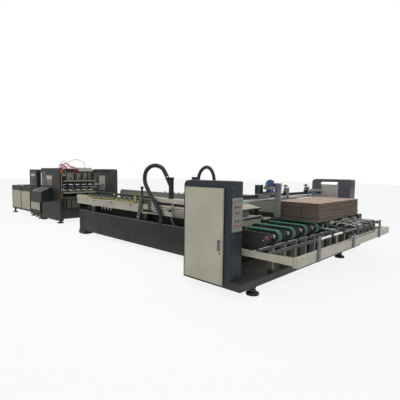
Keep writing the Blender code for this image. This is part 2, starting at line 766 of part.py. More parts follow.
def front_stops():
    """Stops with a hand knob on top, seated on the rail."""
    top = RAIL_Z + RAIL_HEIGHT / 2
    profile = [
        (0, 0.06), (0.022, 0.06), (0.045, 0.045), (0.045, 0.03), (0.014, 0.02), (0.014, -0.02), (0, -0.02),
    ]
    for i, y in enumerate(STOP_Y):
        post = bar_at((RAIL_X, y, (top + STOP_TOP) / 2 + TOUCH), (STOP_WIDTH, STOP_WIDTH, STOP_TOP - top))
        knob = as_mesh(turned(profile, (RAIL_X, y, STOP_TOP), axis="Z", steps=14))
        part(unite(post, knob), "front_stop_%d" % (i + 1), "grey_steel")


def transfer_tables():
    """Cream tables behind the belts, each carried by its own wall: a deep block with a wedge over it."""
    rear = TABLE_BLOCK_FRONT - TABLE_BLOCK_DEPTH
    near = -WALL_INNER + TOUCH
    deep = block((rear, TABLE_BLOCK_FRONT), (near, -TABLE_BLOCK_END), (TABLE_BLOCK_BOTTOM, TABLE_BLOCK_TOP))
    back = block((rear, rear + 0.05), (near, -TABLE_BLOCK_END), (TABLE_BLOCK_TOP - 0.05, WEDGE_TOP))
    outline = [
        (rear, WEDGE_TOP - 0.10), (TABLE_BLOCK_FRONT, WEDGE_TOP - 0.06),
        (TABLE_BLOCK_FRONT, WEDGE_TOP - 0.05), (rear, WEDGE_TOP),
    ]
    wedge = sheet([outline], near, -TABLE_BLOCK_END)
    table = unite(deep, back, wedge)
    part(mirrored(table), "far_transfer_table", "cream_paint")
    part(table, "near_transfer_table", "cream_paint")


def belt_places():
    first = -BELT_PITCH * (BELT_COUNT - 1) / 2
    return [first + BELT_PITCH * i for i in range(BELT_COUNT)]


def belt_outline(front, rear, top, radius):
    middle = top - radius
    outline = arc((front - radius, middle), radius, -90, 90, 9)
    return outline + arc((rear + radius, middle), radius, 90, 270, 9)


def loop_belt(front, rear, top, thick, y, width):
    """A flat belt as a closed loop round two pulleys."""
    outer_radius = PULLEY_RADIUS + TOUCH + thick
    outer = belt_outline(front, rear, top, outer_radius)
    inner = belt_outline(front - thick, rear + thick, top - thick, outer_radius - thick)
    return sheet([outer, inner], y - width / 2, y + width / 2)


def feed_belts():
    for i, y in enumerate(belt_places()):
        belt = loop_belt(BELT_FRONT, BELT_REAR, BELT_TOP, BELT_THICK, y, BELT_WIDTH)
        part(belt, "feed_belt_%d" % (i + 1), "green_belt")


def pulley_shaft(name, x, z, rims):
    """One axle with a pulley for every belt. Rims stand up on either side of the belt."""
    reach = stand_places()[-1] + STAND_THICK
    seat = PULLEY_RADIUS * math.cos(math.pi / ROUND_SIDES) - TOUCH
    half = BELT_WIDTH / 2 + TOUCH
    profile = [(0, reach), (AXLE_RADIUS, reach)]
    for y in reversed(belt_places()):
        if rims:
            profile += [(AXLE_RADIUS, y + half + RIM_WIDTH), (RIM_RADIUS, y + half + RIM_WIDTH)]
            profile += [(RIM_RADIUS, y + half), (seat, y + half), (seat, y - half), (RIM_RADIUS, y - half)]
            profile += [(RIM_RADIUS, y - half - RIM_WIDTH), (AXLE_RADIUS, y - half - RIM_WIDTH)]
        else:
            profile += [(AXLE_RADIUS, y + half), (seat, y + half), (seat, y - half), (AXLE_RADIUS, y - half)]
    profile += [(AXLE_RADIUS, -reach), (0, -reach)]
    part(as_mesh(turned(profile, (x, 0, z))), name, "grey_steel")


def pulley_shafts():
    radius = PULLEY_RADIUS + TOUCH + BELT_THICK
    z = BELT_TOP - radius
    pulley_shaft("front_pulley_shaft", BELT_FRONT - radius, z, True)
    pulley_shaft("rear_pulley_shaft", BELT_REAR + radius, z, False)


def stand_places():
    """The stands stand in the gaps between the belts, and outside the first and the last."""
    places = [y + BELT_PITCH / 2 for y in belt_places()[:-1]]
    return [places[0] - BELT_PITCH] + places + [places[-1] + BELT_PITCH]


def stand_post_places():
    """One post for each belt, evenly spaced from one side of the feeder to the other."""
    near = -WALL_INNER + STAND_POST_MARGINS[0]
    far = WALL_INNER - STAND_POST_MARGINS[1]
    return [near + (far - near) * i / (BELT_COUNT - 1) for i in range(BELT_COUNT)]


def belt_stands():
    """Posts on the front beam, a rail along their tops and plates that carry both pulley axles."""
    radius = PULLEY_RADIUS + TOUCH + BELT_THICK
    axle_z = BELT_TOP - radius
    front, rear = BELT_FRONT - radius, BELT_REAR + radius
    reach = stand_places()[-1] + STAND_POST_WIDTH
    post_x = (STAND_POST_X - STAND_POST_DEPTH / 2, STAND_POST_X + STAND_POST_DEPTH / 2)
    rail = block(post_x, (-reach, reach), (STAND_RAIL_TOP - STAND_RAIL_HEIGHT, STAND_RAIL_TOP))
    root = STAND_RAIL_TOP - STAND_RAIL_HEIGHT / 2
    posts = []
    for y in stand_post_places():
        span = (y - STAND_POST_WIDTH / 2, y + STAND_POST_WIDTH / 2)
        posts.append(block(post_x, span, (BEAM_TOP + TOUCH, root)))
    plates = []
    bore = (AXLE_RADIUS + TOUCH) / math.cos(math.pi / ROUND_SIDES)
    lip = STAND_LIP
    for y in stand_places():
        outline = [
            (post_x[0] + TOUCH, root), (post_x[1] - TOUCH, root), (front + lip, axle_z - lip),
            (front + lip, STAND_TOP), (rear - lip, STAND_TOP), (rear - lip, axle_z - lip),
        ]
        plate = sheet([outline], y - STAND_THICK / 2, y + STAND_THICK / 2)
        bores = [rod((x, y - STAND_THICK, axle_z), (x, y + STAND_THICK, axle_z), bore) for x in (front, rear)]
        plates.append(cut(plate, *bores))
    part(unite(rail, *posts, *plates), "belt_stands", "cream_paint")


def front_bar():
    """The cream tube across the feed end, with the two arms that hold it off the walls."""
    tube_x = (FEED_END - BAR_DEPTH - POST_THICK, FEED_END - POST_THICK)
    bar = block(tube_x, (-BAR_HALF, BAR_HALF), (BAR_BOTTOM, BAR_BOTTOM + BAR_HEIGHT))
    bore = block(
        (tube_x[0] + BAR_TUBE_WALL, tube_x[1] - BAR_TUBE_WALL), (-BAR_HALF - 0.1, BAR_HALF + 0.1),
        (BAR_BOTTOM + BAR_TUBE_WALL, BAR_BOTTOM + BAR_HEIGHT - BAR_TUBE_WALL),
    )
    bar = cut(bar, bore)
    arm_z = (BAR_BOTTOM + (BAR_HEIGHT - ARM_HEIGHT) / 2, BAR_BOTTOM + (BAR_HEIGHT + ARM_HEIGHT) / 2)
    root_x = WALL_FRONT - ARM_LAP
    arms = []
    for side in (-1, 1):
        arm_y = side * ARM_Y
        span = (arm_y - ARM_THICK / 2, arm_y + ARM_THICK / 2)
        arms.append(block((root_x, tube_x[0] + BAR_TUBE_WALL / 2), span, arm_z))
        arms.append(block((root_x, WALL_FRONT - ARM_LAP / 3), (arm_y, side * (WALL_INNER - TOUCH)), arm_z))
    part(unite(bar, *arms), "front_bar", "cream_paint")


def bar_posts():
    """Grey uprights on the front bar, the chrome tube they carry, its strap and the flat arms behind it."""
    inner = FEED_END - POST_THICK + TOUCH
    posts = []
    for y, top in zip(POST_Y, POST_TOPS):
        span = (y - POST_WIDTH / 2, y + POST_WIDTH / 2)
        posts.append(block((inner, FEED_END), span, (BAR_BOTTOM - POST_DROP, top)))
    x = inner - CARRIER_RADIUS / 2
    carrier = rod((x, POST_Y[0], CARRIER_Z), (x, POST_Y[-1], CARRIER_Z), CARRIER_RADIUS)
    radius = PULLEY_RADIUS + TOUCH + BELT_THICK
    stand_x = BELT_FRONT - radius + STAND_LIP + TOUCH
    outline = [
        (stand_x, STAND_TOP - ARM_STRIP), (x, CARRIER_Z - ARM_STRIP / 2),
        (x, CARRIER_Z + ARM_STRIP / 2), (stand_x, STAND_TOP),
    ]
    arms = []
    for k in ARM_STANDS:
        y = stand_places()[k]
        arms.append(sheet([outline], y - ARM_STRIP_WIDTH / 2, y + ARM_STRIP_WIDTH / 2))
    middle = POST_Y[1]
    strap = [
        (x, middle - STRAP_REACH, CARRIER_Z), (x, middle - STRAP_REACH / 2, CARRIER_Z + STRAP_RISE),
        (x, middle - STRAP_REACH / 5, CARRIER_Z),
        (inner + POST_THICK / 2, middle, POST_TOPS[1] - POST_WIDTH / 2),
    ]
    bent = tube(smooth_route(strap, 10), STRAP_RADIUS, 1)
    part(unite(carrier, bent, *posts, *arms), "bar_posts", "grey_steel")


def board_stack():
    """The flat blanks that lie ready on the belts."""
    z = BELT_TOP + TOUCH
    part(
        block((STACK_FRONT - STACK_LENGTH, STACK_FRONT), (STACK_NEAR, STACK_FAR), (z, z + STACK_HEIGHT)),
        "board_stack", "cardboard",
    )


def folder_base():
    """Two deep black side beams on end plates, with box ties between them that carry the dust trays."""
    inner = FOLDER_HALF - FOLDER_BEAM_THICK
    beam = block(
        (FOLDER_REAR, FOLDER_FRONT), (-FOLDER_HALF, -inner), (FOLDER_BEAM_BOTTOM, FOLDER_BEAM_TOP)
    )
    pads = []
    last = FOLDER_FRONT - FOLDER_PAD_LENGTH
    for rear in (FOLDER_REAR, last):
        pads.append(
            block(
                (rear, rear + FOLDER_PAD_LENGTH), (-FOLDER_HALF - FOLDER_PAD_SPREAD, -inner),
                (0, FOLDER_BEAM_BOTTOM + 0.01),
            )
        )
    beam = unite(beam, *pads)
    part(mirrored(beam), "folder_far_base", "black_paint")
    part(beam, "folder_near_base", "black_paint")
    rear_tie, front_tie = FOLDER_REAR + REAR_TIE_SETBACK, FOLDER_FRONT - FRONT_TIE_SETBACK
    reach = inner - TOUCH
    tray_z = (TIE_Z - TIE_SIZE / 2, TIE_Z - TIE_SIZE / 2 + TRAY_THICK)
    trays = ((FOLDER_REAR + TRAY_MARGIN, rear_tie), (rear_tie + TIE_SIZE / 2 + TOUCH, front_tie))
    for i, x in enumerate((rear_tie, front_tie)):
        tie = bar_at((x, 0, TIE_Z), (TIE_SIZE, 2 * reach, TIE_SIZE))
        tray = block(trays[i], (-reach, reach), tray_z)
        part(unite(tie, tray), "folder_tie_%d" % (i + 1), "black_paint")


def middle_belt_beam():
    """The slim belt carrier down the middle, over the boards, on a floor stand and a post on the spine."""
    span = (MIDDLE_BELT_Y - MIDDLE_BELT_WIDTH / 2, MIDDLE_BELT_Y + MIDDLE_BELT_WIDTH / 2)
    bottom = MIDDLE_BELT_TOP - MIDDLE_BELT_DEPTH
    front = FOLDER_FRONT - TOUCH - PAN_THICK
    rear = FOLDER_REAR - MIDDLE_BELT_REACH
    beam = block((rear, front), span, (bottom, MIDDLE_BELT_TOP))
    front_leg = block((front - LEG_SIZE, front), span, (0, bottom + LEG_LAP))
    foot_plate = block(
        (front - 2 * LEG_SIZE, front), (span[0] - LEG_SIZE, span[1] + LEG_SIZE), (0, PAN_THICK),
    )
    rear_leg = block((rear + LEG_SIZE, rear + 2 * LEG_SIZE), span, (LINK_TOP + TOUCH, bottom + LEG_LAP))
    part(unite(beam, front_leg, foot_plate, rear_leg), "middle_belt_beam", "black_paint")


def fold_belt_axle_z():
    return FOLD_BEAM_TOP + FOLD_PULLEY_RADIUS + FOLD_BELT_LIFT


def fold_beam(rear, bottom):
    """One belt beam on pedestals, stepped up near the feeder, with the belt's rail along its top."""
    low, high = -FOLD_BEAM_Y - FOLD_BEAM_THICK / 2, -FOLD_BEAM_Y + FOLD_BEAM_THICK / 2
    step_top = FOLD_BEAM_TOP + FOLD_STEP_RISE
    outline = [
        (rear, bottom), (FOLDER_FRONT, bottom), (FOLDER_FRONT, step_top),
        (FOLD_STEP, step_top), (FOLD_STEP, FOLD_BEAM_TOP), (rear, FOLD_BEAM_TOP),
    ]
    slot_z = (FOLD_BEAM_TOP + FOLD_SLOT_LIFT, FOLD_BEAM_TOP + FOLD_SLOT_LIFT + FOLD_SLOT_HEIGHT)
    slot_x = (FOLD_STEP + FOLD_SLOT_INSET, FOLDER_FRONT - FOLD_SLOT_INSET)
    slot = block(slot_x, (low - FOLD_SLOT_DEPTH, low + FOLD_SLOT_DEPTH), slot_z)
    pieces = []
    pedestal_z = (FOLDER_BEAM_TOP + TOUCH, bottom + 0.01)
    for x in PEDESTAL_X:
        pieces.append(block((x, x + PEDESTAL_LENGTH), (low + 0.01, high - 0.01), pedestal_z))
    radius = FOLD_PULLEY_RADIUS - FOLD_BELT_THICK - TOUCH
    axle_z = fold_belt_axle_z()
    skin = FOLD_BELT_THICK + TOUCH
    rail_outline = belt_outline(FOLD_BELT_FRONT - skin, rear + skin, axle_z + radius, radius)
    half = FOLD_BELT_WIDTH / 2
    pieces.append(sheet([rail_outline], -FOLD_BEAM_Y - half, -FOLD_BEAM_Y + half))
    plate = (-FOLD_BEAM_Y + half + TOUCH, -FOLD_BEAM_Y + half + TOUCH + RAIL_PLATE)
    joint_z = (axle_z - radius / 2, axle_z + radius / 2)
    for x in PEDESTAL_X[:2]:
        span = (x, x + PEDESTAL_LENGTH)
        pieces.append(block(span, plate, (FOLD_BEAM_TOP - 0.01, joint_z[1])))
        pieces.append(block(span, (plate[0] - 0.005, plate[0] + 0.01), joint_z))
    return unite(cut(sheet([outline], low, high), slot), *pieces)


def fold_beams():
    """Cream belt beams. The far one runs on to the press, the near one ends under its belt guard."""
    part(mirrored(fold_beam(FAR_FOLD_REAR, FAR_BEAM_BOTTOM)), "far_fold_beam", "cream_paint")
    low = -FOLD_BEAM_Y - FOLD_BEAM_THICK / 2
    guard_x = (FOLD_REAR + FOLD_BELT_THICK, FOLD_REAR + GUARD_LENGTH)
    guard_z = (FOLD_BEAM_TOP - GUARD_THICK, GUARD_TOP)
    guard = block(guard_x, (low - GUARD_THICK / 2, low + GUARD_THICK / 2), guard_z)
    part(unite(fold_beam(FOLD_REAR, FOLD_BEAM_BOTTOM), guard), "near_fold_beam", "cream_paint")


def fold_belt(rear):
    """A long green belt on top of a belt beam, round the nose at either end of its rail."""
    radius = FOLD_PULLEY_RADIUS
    top = fold_belt_axle_z() + radius
    thick = FOLD_BELT_THICK
    outer = belt_outline(FOLD_BELT_FRONT, rear, top, radius)
    inner = belt_outline(FOLD_BELT_FRONT - thick, rear + thick, top - thick, radius - thick)
    half = FOLD_BELT_WIDTH / 2
    return sheet([outer, inner], -FOLD_BEAM_Y - half, -FOLD_BEAM_Y + half)


def fold_belts():
    part(mirrored(fold_belt(FAR_FOLD_REAR)), "far_fold_belt", "green_belt")
    part(fold_belt(FOLD_REAR), "near_fold_belt", "green_belt")


def fold_rod(rear):
    """A round folding bar that turns the board's flap in, on three stays."""
    side = -FOLD_BEAM_Y - FOLD_BEAM_THICK / 2
    y = side - ROD_OFFSET
    z = FOLD_BEAM_TOP - ROD_OFFSET
    end = COLUMN_X - 2 * ROD_OFFSET
    length = end - rear
    route = [
        (rear + 0.30 * length, y, z), (rear + 0.55 * length, y, z + ROD_RISE),
        (rear + 0.80 * length, y + ROD_RISE / 2, z + 2 * ROD_RISE), (end, y + ROD_RISE, z + 2 * ROD_RISE),
    ]
    bar = tube(smooth_route(route, 14), FOLD_ROD_RADIUS)
    stays = []
    for share in (0.34, 0.62, 0.92):
        x = rear + share * length
        stay_z = (z - ROD_OFFSET, z + ROD_OFFSET)
        stays.append(block((x, x + 2 * FOLD_ROD_RADIUS), (y - FOLD_ROD_RADIUS / 3, side - TOUCH), stay_z))
    return unite(bar, *stays)


def fold_rods():
    part(mirrored(fold_rod(FOLD_REAR)), "far_fold_rod", "brass")
    part(fold_rod(FOLD_REAR), "near_fold_rod", "brass")


def knob_column():
    """The leaning lever plate on the near side beam, with a black hand grip and its ball on top."""
    y = -FOLDER_HALF + FOLDER_BEAM_THICK / 4
    base = FOLDER_BEAM_TOP + TOUCH
    lean = LEVER_LEAN
    outline = [
        (COLUMN_X, base), (COLUMN_X + COLUMN_WIDTH, base), (COLUMN_X + COLUMN_WIDTH + lean, LEVER_TOP),
        (COLUMN_X + lean, LEVER_TOP),
    ]
    plate = sheet([outline], y - LEVER_THICK / 2, y + LEVER_THICK / 2)
    flange = block(
        (COLUMN_X - LEVER_THICK, COLUMN_X + COLUMN_WIDTH + LEVER_THICK),
        (y - FOLDER_BEAM_THICK / 5, y + FOLDER_BEAM_THICK / 5), (base, base + LEVER_THICK),
    )
    grip_x = COLUMN_X + lean + 2 * COLUMN_WIDTH / 3
    profile = [
        (0, 0.186), (KNOB_RADIUS * 0.6, 0.180), (KNOB_RADIUS, 0.158), (KNOB_RADIUS * 0.6, 0.136),
        (KNOB_RADIUS * 0.4, 0.128), (KNOB_RADIUS * 0.55, 0.06), (KNOB_RADIUS * 0.5, -0.02), (0, -0.02),
    ]
    grip = as_mesh(turned(profile, (grip_x, y, LEVER_TOP), axis="Z", steps=14))
    part(unite(plate, flange, grip), "knob_column", "grey_steel")


def duct_post():
    """A round pipe on the near belt beam, with a foot flange, a cap collar and the first hose's socket."""
    base = FOLD_BEAM_TOP + FOLD_STEP_RISE + TOUCH
    y = -FOLD_BEAM_Y
    profile = [
        (0, DUCT_TOP), (DUCT_RADIUS + 0.006, DUCT_TOP), (DUCT_RADIUS + 0.006, DUCT_TOP - 0.03),
        (DUCT_RADIUS, DUCT_TOP - 0.035), (DUCT_RADIUS, base + 0.012), (DUCT_RADIUS + 0.012, base + 0.012),
        (DUCT_RADIUS + 0.012, base), (0, base),
    ]
    pipe = as_mesh(turned(profile, (DUCT_X, y, 0), axis="Z"))
    route = hose_1_route()
    along = (route[1] - route[0]).normalized()
    socket = rod(route[0] - along * SOCKET_LENGTH, route[0] - along * TOUCH, HOSE_RADIUS)
    part(unite(pipe, socket), "duct_post", "black_paint")


def hose_1_places():
    """The chosen points of the thick hose's route, which are measured from the duct's top."""
    places = []
    for along, across, rise in HOSE_ROUTE:
        places.append((DUCT_X + TOUCH + along, across - FOLD_BEAM_Y, DUCT_TOP + rise))
    return places


def hose_1_route():
    """Points along the thick hose, from the duct's socket down to the side beam."""
    places = hose_1_places()
    foot = Vector((places[-1][0], places[-1][1], FOLDER_BEAM_TOP + TOUCH))
    return smooth_route(places, 30) + [foot]


def dust_hose_1():
    """The thick hose from the duct's socket down to a collar on the side beam, held at both ends."""
    foot = hose_1_route()[-1]
    hose = tube(hose_1_route(), HOSE_RADIUS, 2)
    collar = [
        (0, 0.07), (HOSE_RADIUS + 0.010, 0.07), (HOSE_RADIUS + 0.010, 0.015), (HOSE_RADIUS + 0.025, 0.015),
        (HOSE_RADIUS + 0.025, 0), (0, 0),
    ]
    socket = as_mesh(turned(collar, foot, axis="Z"))
    part(unite(hose, socket), "dust_hose_1", "black_rubber")


def dust_hose_2():
    """The thin hose that loops over the belt beam behind the near wall, with the post it is clamped to."""
    beam_top = FOLD_BEAM_TOP + FOLD_STEP_RISE + TOUCH
    y = -FOLD_BEAM_Y
    rear_x, front_x = THIN_HOSE_X
    middle_x = (rear_x + front_x) / 2
    shoulder_z = THIN_HOSE_TOP - THIN_HOSE_SHOULDER
    route = [
        (rear_x, y, beam_top), (rear_x, y, beam_top + 0.05), (rear_x + 0.01, y, shoulder_z),
        (middle_x - 0.10, y, THIN_HOSE_TOP - THIN_HOSE_CROWN),
        (middle_x + 0.02, y, THIN_HOSE_TOP - THIN_HOSE_RADIUS),
        (front_x - 0.03, y, THIN_HOSE_TOP - THIN_HOSE_CURVE), (front_x, y, shoulder_z),
        (front_x, y, beam_top + 0.05), (front_x, y, beam_top),
    ]
    post_x = rear_x - THIN_HOSE_RADIUS - CLAMP_POST_SIZE / 2
    half = CLAMP_POST_SIZE / 2
    post_span = (post_x - half, post_x + half + 0.01)
    clamp_post = block(post_span, (y - half, y + half), (beam_top, CLAMP_POST_TOP))
    hose = tube(held_route(route, 24), THIN_HOSE_RADIUS, 2)
    part(unite(clamp_post, hose), "dust_hose_2", "black_rubber")


def ducts():
    duct_post()
    dust_hose_1()
    dust_hose_2()


def press_walls():
    outline = wall_outline(PRESS_REAR, PRESS_FRONT, PRESS_BOTTOM, PRESS_TOP, PRESS_CORNER, True)
    wall = sheet([outline], -PRESS_HALF, -PRESS_HALF + PRESS_WALL)
    places = (PRESS_FRONT - PRESS_FOOT_SETBACK, PRESS_REAR + PRESS_FOOT_SETBACK)
    feet = [foot(x, -PRESS_HALF + PRESS_WALL / 2, PRESS_BOTTOM + FOOT_LAP) for x in places]
    wall = unite(wall, *feet)
    part(mirrored(wall), "press_far_wall", "black_paint")
    part(wall, "press_near_wall", "black_paint")


def bearing_span():
    return (BEARING_Y, BEARING_Y + BEARING_THICK)


def press_base():
    """The press's base with the cross rail, the glue blocks and the lower bearing plate that stand on it."""
    inner = PRESS_HALF - PRESS_WALL - TOUCH
    front = PRESS_FRONT - PRESS_BASE_SETBACK
    base = block((PRESS_REAR + 0.05, front), (-inner, inner), (PRESS_BOTTOM + 0.06, PRESS_BASE_TOP))
    rail_x = (front - CROSS_RAIL, front)
    pieces = [block(rail_x, (-inner, inner), (CROSS_RAIL_Z - CROSS_RAIL, CROSS_RAIL_Z))]
    root = PRESS_BASE_TOP - 0.01
    for y in (-inner + CROSS_RAIL, 0, inner - 2 * CROSS_RAIL):
        pieces.append(block(rail_x, (y, y + CROSS_RAIL), (root, CROSS_RAIL_Z - CROSS_RAIL / 2)))
    for span in GLUE_BLOCKS_Y:
        pieces.append(block((front - GLUE_BLOCK_DEPTH, front), span, (root, GLUE_BLOCK_TOP)))
    top = LOWER_WHEEL_Z + WHEEL_RADIUS - THROAT_MARGIN
    pieces.append(block((BEARING_REAR, BEARING_FRONT), bearing_span(), (root, top)))
    part(unite(base, *pieces), "press_base", "black_paint")


def link_beam():
    """The spine under the board's path that joins the press base to the folding section's rear tie."""
    front = FOLDER_REAR + REAR_TIE_SETBACK - TIE_SIZE / 2 - TOUCH
    rear = PRESS_FRONT - PRESS_BASE_SETBACK + TOUCH
    part(block((rear, front), (-LINK_HALF, LINK_HALF), (LINK_BOTTOM, LINK_TOP)), "link_beam", "black_paint")


def press_shafts():
    """Three shafts of wheels between the near wall and the bearing plates, over and under the board."""
    near = -PRESS_HALF + PRESS_WALL + PIN_GAP
    far = BEARING_Y - PIN_GAP
    pitch = (far - near) / (WHEEL_COUNT + 1)
    for name, (x, z) in WHEEL_SHAFTS.items():
        profile = [(0, far), (PRESS_AXLE, far)]
        for k in range(WHEEL_COUNT, 0, -1):
            y = near + pitch * k
            profile += [(PRESS_AXLE, y + WHEEL_WIDTH / 2), (WHEEL_RADIUS, y + WHEEL_WIDTH / 2)]
            profile += [(WHEEL_RADIUS, y - WHEEL_WIDTH / 2), (PRESS_AXLE, y - WHEEL_WIDTH / 2)]
        profile += [(PRESS_AXLE, near), (0, near)]
        shaft = part(as_mesh(turned(profile, (x, 0, z))), name, "grey_steel")
        set_origin(shaft, (x, 0, z))


def press_top():
    """The air manifold with its tie, upper bearing plate and hangers, and the red air lines over it."""
    inner = PRESS_HALF - PRESS_WALL - TOUCH
    rear, front = PRESS_FRONT - MANIFOLD_REAR_SETBACK, PRESS_FRONT - PRESS_FOOT_SETBACK
    far = BEARING_Y + BEARING_THICK
    beam = block((rear, front), (-inner, far), (MANIFOLD_BOTTOM, MANIFOLD_TOP))
    tie_z = (MANIFOLD_TOP - 2 * TOP_TIE, MANIFOLD_TOP - TOP_TIE)
    tie = block((rear, rear + TOP_TIE), (far - TOP_TIE, inner), tie_z)
    low = UPPER_WHEEL_Z - WHEEL_RADIUS + THROAT_MARGIN
    bearing = block((BEARING_REAR, BEARING_FRONT), bearing_span(), (low, MANIFOLD_BOTTOM + 0.01))
    plate_x = (front - HANGER_THICK, front)
    hangers = [block(plate_x, span, (HANGER_BOTTOM, MANIFOLD_BOTTOM + 0.01)) for span in HANGER_SPANS]
    bar_z = (HANGER_BOTTOM - HANGER_BAR, HANGER_BOTTOM + 0.01)
    hangers.append(block(plate_x, (-inner, BEARING_Y + BEARING_THICK / 2), bar_z))
    part(unite(beam, tie, bearing, *hangers), "manifold_beam", "grey_steel")
    x = (rear + front) / 2 + STRIP_OFFSET
    low = MANIFOLD_TOP + TOUCH
    top = low + STRIP_HEIGHT
    strip = block((x - STRIP_HEIGHT, x + STRIP_HEIGHT), (-inner, AIR_LOOPS[-1][1] + STRIP_HEIGHT), (low, top))
    lines = []
    for near, far, height in AIR_LOOPS:
        middle = (near + far) / 2
        root = top - AIR_LINE_RADIUS
        route = [
            (x, near, root), (x, near - 0.02, low + height * 0.6), (x, middle, low + height),
            (x, far + 0.02, low + height * 0.6), (x, far, root),
        ]
        lines.append(tube(smooth_route(route, 20), AIR_LINE_RADIUS, 1))
    part(unite(strip, *lines), "air_lines", "red_tube")


def press_hood():
    """The sloped box on the outer side of the near press wall."""
    rear, front = PRESS_REAR + 0.02, HOOD_FRONT
    outer, inner = -PRESS_HALF - HOOD_DEPTH, -PRESS_HALF - TOUCH
    profile = [
        (outer, HOOD_BOTTOM), (inner, HOOD_BOTTOM), (inner, HOOD_TOP), (outer, HOOD_TOP - HOOD_SLOPE),
    ]
    hood = sheet([profile], -front, -rear)
    hood.rotation_euler = (math.radians(90), 0, math.radians(90))
    hood.location = ((front + rear) / 2, 0, 0)
    part(hood, "press_hood", "black_paint")


def delivery_walls():
    """Two short machine walls that stand inside the table's sides."""
    rear = POST_WALL_FRONT - POST_WALL_LENGTH
    outline = wall_outline(rear, POST_WALL_FRONT, PRESS_BOTTOM, POST_WALL_TOP, POST_WALL_CORNER, True)
    outer = -TABLE_HALF + TABLE_SIDE_THICK
    wall = sheet([outline], outer + TOUCH, outer + POST_WALL_THICK)
    places = (POST_WALL_FRONT - PRESS_FOOT_SETBACK, rear + PRESS_FOOT_SETBACK)
    feet = [foot(x, outer + POST_WALL_THICK / 2, PRESS_BOTTOM + FOOT_LAP) for x in places]
    wall = unite(wall, *feet)
    part(mirrored(wall), "delivery_far_wall", "black_paint")
    part(wall, "delivery_near_wall", "black_paint")


def delivery_table():
    """The table's two sides on their feet, and the belt bed between the walls."""
    span = (-TABLE_HALF, -TABLE_HALF + TABLE_SIDE_THICK)
    side = block((TABLE_REAR, TABLE_FRONT), span, (TABLE_SIDE_BOTTOM, TABLE_TOP))
    places = (TABLE_REAR + PRESS_FOOT_SETBACK, TABLE_FRONT - PRESS_FOOT_SETBACK)
    feet = [foot(x, -TABLE_HALF + TABLE_SIDE_THICK / 2, TABLE_SIDE_BOTTOM + FOOT_LAP) for x in places]
    side = unite(side, *feet)
    part(mirrored(side), "table_far_side", "black_paint")
    part(side, "table_near_side", "black_paint")
    inner = TABLE_HALF - TABLE_SIDE_THICK - POST_WALL_THICK - TOUCH
    bed_x = (TABLE_REAR + BED_INSET, TABLE_FRONT - 2 * BED_INSET)
    bed = block(bed_x, (-inner, inner), (TABLE_TOP - BED_DROP - BED_THICK, TABLE_TOP - BED_DROP))
    part(bed, "delivery_belt_bed", "grey_steel")


def build():
    feeder_beams()
    feeder_near_wall()
    feeder_near_door()
    feeder_far_wall()
    button_panel()
    guide_rail_and_shaft()
    side_guides()
    guide_motor()
    front_stops()
    transfer_tables()
    feed_belts()
    pulley_shafts()
    belt_stands()
    front_bar()
    bar_posts()
    board_stack()
    folder_base()
    middle_belt_beam()
    fold_beams()
    fold_belts()
    fold_rods()
    knob_column()
    ducts()
    press_walls()
    press_base()
    link_beam()
    press_shafts()
    press_top()
    press_hood()
    delivery_walls()
    delivery_table()


clear_scene()
MACHINE = new_collection("corrugated_box_making_machine")
HELPERS = new_collection("cutters")
build()
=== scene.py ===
# %% [markdown]
# # Dressing a box making line
# The machine's solids come in as one fixed frame, at their real size and place. This lesson gives
# every surface a finish and adds the small pieces that the solids leave out. Nothing that came
# with the frame is moved or reshaped, because the joints and the checks rest on it.

# %% Load the frame
import json
import math
import random

import bmesh
import bpy
from mathutils import Matrix, Vector


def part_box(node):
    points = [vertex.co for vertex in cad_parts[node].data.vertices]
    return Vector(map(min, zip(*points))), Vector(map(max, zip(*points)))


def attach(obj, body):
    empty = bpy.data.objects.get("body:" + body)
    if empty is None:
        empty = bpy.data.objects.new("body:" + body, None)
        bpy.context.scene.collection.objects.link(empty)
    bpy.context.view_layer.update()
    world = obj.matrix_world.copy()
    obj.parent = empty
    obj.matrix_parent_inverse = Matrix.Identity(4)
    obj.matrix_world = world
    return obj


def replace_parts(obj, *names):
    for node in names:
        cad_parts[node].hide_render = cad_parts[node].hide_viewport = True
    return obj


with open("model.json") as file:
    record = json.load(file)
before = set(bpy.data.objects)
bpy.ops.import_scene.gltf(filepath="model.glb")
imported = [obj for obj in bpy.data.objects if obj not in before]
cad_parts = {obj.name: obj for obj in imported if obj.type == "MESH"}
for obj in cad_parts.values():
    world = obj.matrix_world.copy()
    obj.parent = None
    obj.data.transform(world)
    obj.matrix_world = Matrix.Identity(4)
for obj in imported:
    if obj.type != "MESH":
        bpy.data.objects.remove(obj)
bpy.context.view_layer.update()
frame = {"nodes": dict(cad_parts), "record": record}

NODES = frame["nodes"]

# %% [markdown]
# ## The camera
# The picture was taken by someone standing off the near corner of the feed end, with the eye at
# 1.6 m. The straight edges of the machine run to three vanishing points, and those give the
# focal length and the three angles. A camera made by a matrix keeps all of that exactly, where
# aiming it at a target would lose the slight roll.

# %% Place the camera
EYE = Vector((8.09, -5.5, 1.6))
FOCAL_PIXELS = 341.0
IMAGE_PIXELS = 400.0
SENSOR = 36.0
YAW, TILT, ROLL = math.radians(43.76), math.radians(4.56), math.radians(0.78)


def camera_axes(yaw, tilt, roll):
    """Right, up and backward directions of a camera turned left, tipped down and rolled."""
    right = Vector((math.cos(yaw), math.sin(yaw), 0))
    ahead = Vector((-math.sin(yaw), math.cos(yaw), 0))
    forward = ahead * math.cos(tilt) - Vector((0, 0, math.sin(tilt)))
    down = forward.cross(right)
    rolled_right = math.cos(roll) * right - math.sin(roll) * down
    rolled_down = math.sin(roll) * right + math.cos(roll) * down
    return rolled_right, -rolled_down, -forward


